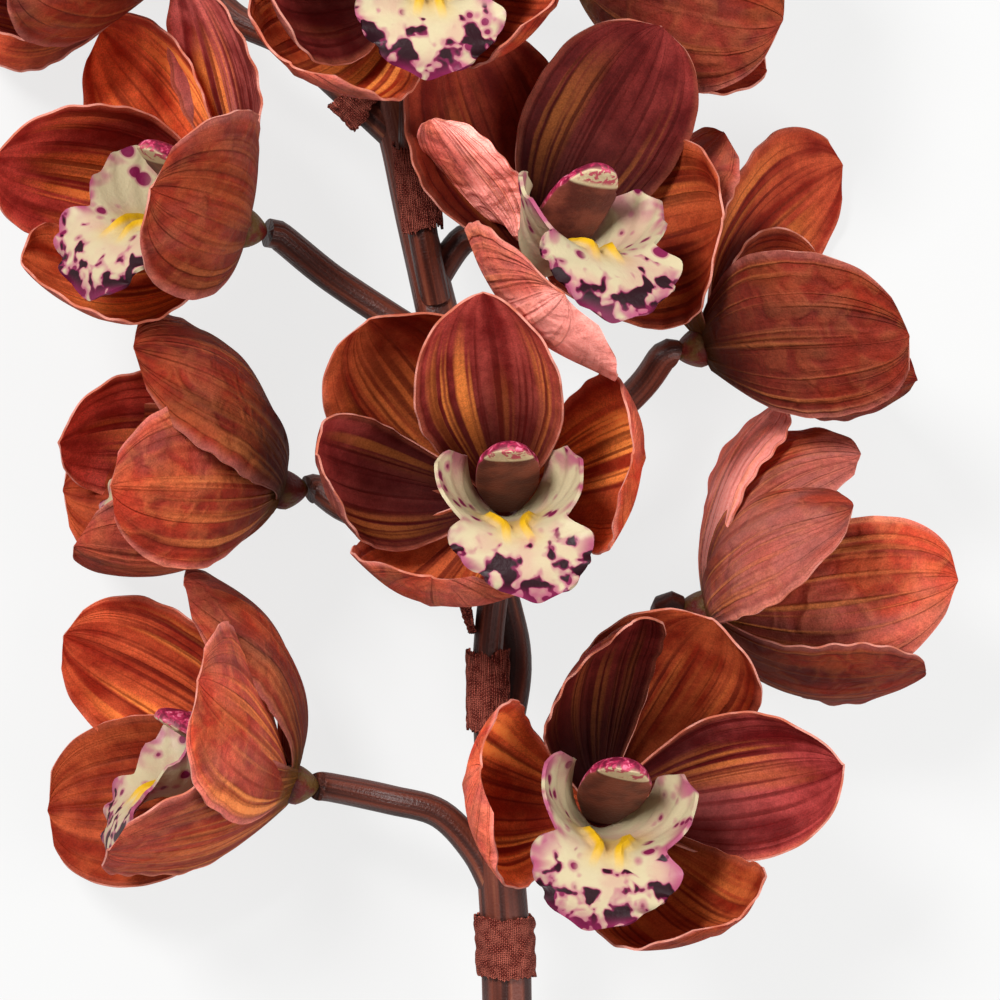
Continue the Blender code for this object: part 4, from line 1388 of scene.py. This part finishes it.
@dataclass
class Column:
    """The rubber column that arches over the lip, with a rounded cap and a flat underside."""

    bloom: BloomPlan
    cells: tuple[int, int] = (56, 44)
    start: tuple[float, float] = (-0.0030, 0.0060)
    length: float = 0.036
    width: float = 0.0165
    depth: float = 0.0115
    tilt: float = 34
    bend: float = 16
    underside: float = 0.25
    swell: Stops = ((0, 0.75), (0.4, 1), (0.72, 1), (1, 0.8))
    square: float = 0.5
    groove: float = 0.07
    groove_place: float = 0.8
    groove_width: float = 0.025
    least_slim: float = 0.001
    belly_edge: tuple[float, float] = (-0.06, 0.1)
    sharp: float = 80

    def build(self, finishes: Finishes) -> None:
        """Builds the column and dresses it.

        Args:
            finishes: The stem's finishes.
        """
        matrix = self.bloom.heart_matrix()
        radius = self.length / math.radians(self.bend)
        shares: list[float] = []
        bellies: list[float] = []

        def place(unit: Vector) -> Vector:
            """Gives the column's point in the model's frame and notes where it lies.

            Args:
                unit: The point on the ball.

            Returns:
                The point.
            """
            share = (1 + unit.z) / 2
            y, z, heading = along_arc(self.start, -self.tilt, 0, (radius, self.bend), share * self.length)
            slim = math.hypot(unit.x, unit.y)
            grow = between(self.swell, share) * max(slim, self.least_slim) ** -self.square
            neck = self.groove * math.exp(-((share - self.groove_place) / self.groove_width) ** 2)
            across = unit.x * grow * self.width / 2 * (1 - neck)
            rise = unit.y * grow * self.depth / 2
            rise *= self.underside if rise < 0 else 1 - neck
            shares.append(share)
            bellies.append(ease(-unit.y, *self.belly_edge))
            return matrix @ Vector((across, y + rise * math.cos(heading), z + rise * math.sin(heading)))

        piece = add_ball(f"{self.bloom.name}_rubber_column", self.cells, place)
        mark(piece, "along", shares)
        mark(piece, "belly", bellies)
        wear(piece, finishes.column)
        install(piece, f"{self.bloom.name}_column", self.sharp)


# Stems, bracts and bud


@dataclass
class Tube:
    """A closed ridged tube along a route of points, each with its radius."""

    name: str
    points: Sequence[tuple[float, ...]]
    sides: int = 40
    ridges: int = 5
    ridge: float = 0.035
    unevenness: float = 0.03
    uneven_scale: Point = (1.3, 1.3, 60)
    turns: float = 9.0
    cap: tuple[float, ...] = (0.0, 0.6, 0.92)
    map_scale: float = 10

    def rings(self) -> list[tuple[Vector, Vector, Vector, float]]:
        """Sets a ring square to the route at each of its points, and closes both ends.

        Returns:
            Each ring's middle, its two directions and its radius.
        """
        route = [PLACE + Vector(point[:3]) for point in self.points]
        found: list[tuple[Vector, Vector, Vector, float]] = []
        side = (route[1] - route[0]).cross(Vector((0, 0, 1))).normalized()
        for i, centre in enumerate(route):
            ahead = (route[min(i + 1, len(route) - 1)] - route[max(i - 1, 0)]).normalized()
            side = (side - ahead * side.dot(ahead)).normalized()
            found.append((centre, side, ahead.cross(side), self.points[i][3]))
        caps = [(*found[0][:3], found[0][3] * share) for share in self.cap]
        ends = [(*found[-1][:3], found[-1][3] * share) for share in reversed(self.cap)]
        return [*caps, *found, *ends]

    def build(self) -> bpy.types.Object:
        """Models the tube from a sheet rolled round the route.

        Returns:
            The tube, with its map around it and along it in decimetres.
        """
        rings = self.rings()
        run = [0.0]
        for before, after in zip(rings, rings[1:]):
            run.append(run[-1] + (after[0] - before[0]).length)

        def place(v: float, t: float) -> Vector:
            """Gives the tube's point.

            Args:
                v: Place round it, -1 to 1.
                t: Place along it, 0 to 1.

            Returns:
                The point.
            """
            i = round(t * (len(rings) - 1))
            centre, left, up, radius = rings[i]
            angle = math.pi * v
            ridged = math.cos(self.ridges * angle + self.turns * run[i])
            uneven = rumple(self.uneven_scale, math.cos(angle), math.sin(angle), run[i])
            radius *= 1 + self.ridge * (ridged - 1) / 2 + self.unevenness * uneven
            return centre + left * math.cos(angle) * radius + up * math.sin(angle) * radius

        obj = add_grid(self.name, (self.sides, len(rings) - 1), place)
        for loop in obj.data.uv_layers.active.data:
            loop.uv.y = run[round(loop.uv.y * (len(rings) - 1))] * self.map_scale
        close_seams(obj)
        return obj


@dataclass
class Stem:
    """The main stem from its cut end to its tip, with the flower stalks that branch from it."""

    spacing: float = 0.0025
    stalk_spacing: float = 0.0018
    stalk_radius: float = 0.0037
    stalk_straight: float = 0.003
    stalk_sides: int = 28
    stalk_ridges: int = 4

    def stalk_points(self, bloom: BloomPlan) -> list[tuple[float, ...]]:
        """Gives the stalk's route, ending straight behind the receptacle.

        Args:
            bloom: The bloom on the stalk.

        Returns:
            The points, each with the stalk's radius.
        """
        matrix = Matrix.Translation(-PLACE) @ bloom.matrix()
        ends = (matrix @ Vector((0, 0, -RECEPTACLE_RADIUS - run)) for run in (self.stalk_straight, GAP))
        return [(*point, self.stalk_radius) for point in (*bloom.route, *ends)]

    def build(self, finishes: Finishes) -> None:
        """Builds the stem and its stalks as one piece and dresses it.

        Args:
            finishes: The stem's finishes.
        """
        route = [(*point, radius) for point, radius in STEM_ROUTE]
        tubes = [Tube("stem_tube", smooth_route(route, self.spacing)).build()]
        for bloom in BLOOMS:
            points = smooth_route(self.stalk_points(bloom), self.stalk_spacing)
            tubes.append(Tube("stalk_tube", points, self.stalk_sides, self.stalk_ridges).build())
        for tube in tubes:
            wear(tube, finishes.stem)
        piece = unite(tubes, "plastic_stem")
        for vert in piece.data.vertices:
            vert.co.z = max(vert.co.z, 0.0)
        install(piece, "stem")


@dataclass
class BractWrap:
    """A ragged strip of woven cloth wrapped round a stem."""

    plan: BractPlan
    cells: tuple[int, int] = (64, 24)
    thickness: float = 0.0005
    notch: float = 0.1
    fray: float = 0.06
    crumple: float = 0.0007
    notch_scale: Point = (2.4, 1, 0)
    fray_scale: Point = (21, 1, 4)
    crumple_scale: Point = (5, 4, 1)
    crease_scale: Point = (14, 9, 1)
    seed_step: float = 7.3

    def build(self, finishes: Finishes) -> None:
        """Builds the strip and dresses it.

        Args:
            finishes: The stem's finishes.
        """
        start, end = PLACE + Vector(self.plan.start), PLACE + Vector(self.plan.end)
        ahead = (end - start).normalized()
        top = (Vector((0, 0, 1)) - ahead * ahead.z).normalized()
        left = top.cross(ahead)
        if left.x > 0:
            left.negate()
        low, high = (math.radians(angle) for angle in self.plan.angles)
        seed = self.plan.seed * self.seed_step

        def place(v: float, t: float) -> Vector:
            """Gives the strip's point, its ends uneven and frayed.

            Args:
                v: Place round the stem, -1 to 1.
                t: Place along it, 0 to 1.

            Returns:
                The point.
            """
            angle = low + (high - low) * (v + 1) / 2
            uneven = self.notch * rumple(self.notch_scale, v, seed, 1)
            uneven += self.fray * rumple(self.fray_scale, v, seed, 1) * abs(2 * t - 1)
            creased = abs(rumple(self.crumple_scale, v, t, seed)) + rumple(self.crease_scale, v, t, seed) / 2
            radius = self.plan.radius + self.plan.flare * t + self.crumple * creased
            along = start.lerp(end, t + uneven)
            return along + (top * math.cos(angle) + left * math.sin(angle)) * radius

        piece = add_grid(f"cloth_{self.plan.name}", self.cells, place)
        wide, tall = self.plan.radius * (high - low), (end - start).length
        for loop in piece.data.uv_layers.active.data:
            loop.uv = (loop.uv.x * wide, loop.uv.y * tall)
        wear(piece, finishes.bract)
        thicken(piece, self.thickness)
        install(piece, self.plan.name)


@dataclass
class Bud:
    """The closed bud on the stem's tip, its tepals folded over one another."""

    cells: tuple[int, int] = (60, 40)
    length: float = 0.030
    width: float = 0.015
    taper: float = 0.35
    seams: int = 3
    seam: float = 0.09
    seam_turn: float = 0.5
    seam_sharpness: int = 12

    def build(self, finishes: Finishes) -> None:
        """Builds the bud and dresses it.

        Args:
            finishes: The stem's finishes.
        """
        tip, before = (PLACE + Vector(STEM_ROUTE[i][0]) for i in (-1, -2))
        ahead = (tip - before).normalized()
        turn = ahead.to_track_quat("Z", "Y").to_matrix()

        def place(unit: Vector) -> Vector:
            """Gives the bud's point, with three seams that turn towards its tip.

            Args:
                unit: The point on the ball.

            Returns:
                The point.
            """
            angle = math.atan2(unit.y, unit.x) + self.seam_turn * unit.z
            near = abs(math.cos(self.seams / 2 * angle)) ** self.seam_sharpness
            valley = self.seam * near * (1 - abs(unit.z) ** 4)
            narrow = (1 - self.taper * max(0.0, unit.z)) * (1 - valley) * self.width / 2
            up = (unit.z + 1) * self.length / 2
            return tip + ahead * GAP + turn @ Vector((unit.x * narrow, unit.y * narrow, up))

        piece = add_ball("cloth_bud", self.cells, place)
        wear(piece, finishes.bud)
        install(piece, "bud")


# Studio


@dataclass
class Studio:
    """The pale floor, the soft lights and the camera straight above the stem."""

    floor_size: float = 8.0
    floor_drop: float = 0.0005
    floor_light: float = 0.78
    floor_roughness: float = 0.9
    floor_shade: Colour = (0.10, 0.10, 0.10)
    floor_tint: Colour = (1, 1, 0.995)
    sky: float = 0.36
    lights: tuple[tuple[str, Point, float, float], ...] = (
        ("key_light", (-0.55, 0.65, 1.1), 0.4, 27),
        ("fill_light", (0.9, -0.2, 0.9), 0.9, 14),
    )

    def build_camera(self) -> None:
        """Looks straight down on the stem, with the photograph's width on the stem's own plane."""
        data = bpy.data.cameras.new("camera")
        data.sensor_width = SENSOR_WIDTH
        data.lens = SENSOR_WIDTH * CAMERA_HEIGHT / VIEW_WIDTH
        camera = bpy.data.objects.new("camera", data)
        camera.location = PLACE + Vector((0, 0, CAMERA_HEIGHT))
        bpy.context.scene.collection.objects.link(camera)
        bpy.context.scene.camera = camera

    def build_floor(self) -> None:
        """Lays the pale floor under the stem."""
        bpy.ops.object.select_all(action="DESELECT")
        bpy.ops.mesh.primitive_plane_add(size=self.floor_size)
        floor = bpy.context.object
        floor.name = "floor"
        floor.location.z = -self.floor_drop
        bench = Bench("pale_floor")
        shader = bench.surface(self.floor_shade, self.floor_roughness, gloss=0.0)
        shader.inputs["Emission Color"].default_value = (*self.floor_tint, 1)
        shader.inputs["Emission Strength"].default_value = self.floor_light
        wear(floor, bench.done(shader))

    def build_light(self, name: str, place: Point, size: float, power: float) -> None:
        """Hangs one soft square light that faces the blooms.

        Args:
            name: Its name.
            place: Its place from the middle of the view.
            size: The length of its side.
            power: Its power in watts.
        """
        data = bpy.data.lights.new(name, "AREA")
        data.size = size
        data.energy = power
        light = bpy.data.objects.new(name, data)
        light.location = PLACE + Vector(place)
        light.rotation_euler = (-Vector(place)).to_track_quat("-Z", "Y").to_euler()
        bpy.context.scene.collection.objects.link(light)

    def build(self) -> None:
        """Sets up the floor, the lights, the sky and the camera."""
        self.build_floor()
        for light in self.lights:
            self.build_light(*light)
        world = bpy.data.worlds.new("studio_sky")
        world.use_nodes = True
        world.node_tree.nodes["Background"].inputs["Color"].default_value = (1, 1, 1, 1)
        world.node_tree.nodes["Background"].inputs["Strength"].default_value = self.sky
        bpy.context.scene.world = world
        bpy.context.scene.view_settings.view_transform = "Standard"
        self.build_camera()


def main() -> None:
    """Builds the stem, its bracts, its bud and its blooms, and the studio round them."""
    logging.basicConfig(level=logging.INFO)
    finishes = Finishes.make()
    Stem().build(finishes)
    for plan in BRACTS:
        BractWrap(plan).build(finishes)
    Bud().build(finishes)
    for bloom in BLOOMS:
        for part in (Perianth, Lip, Column):
            part(bloom).build(finishes)
    Studio().build()


if __name__ == "__main__":
    main()
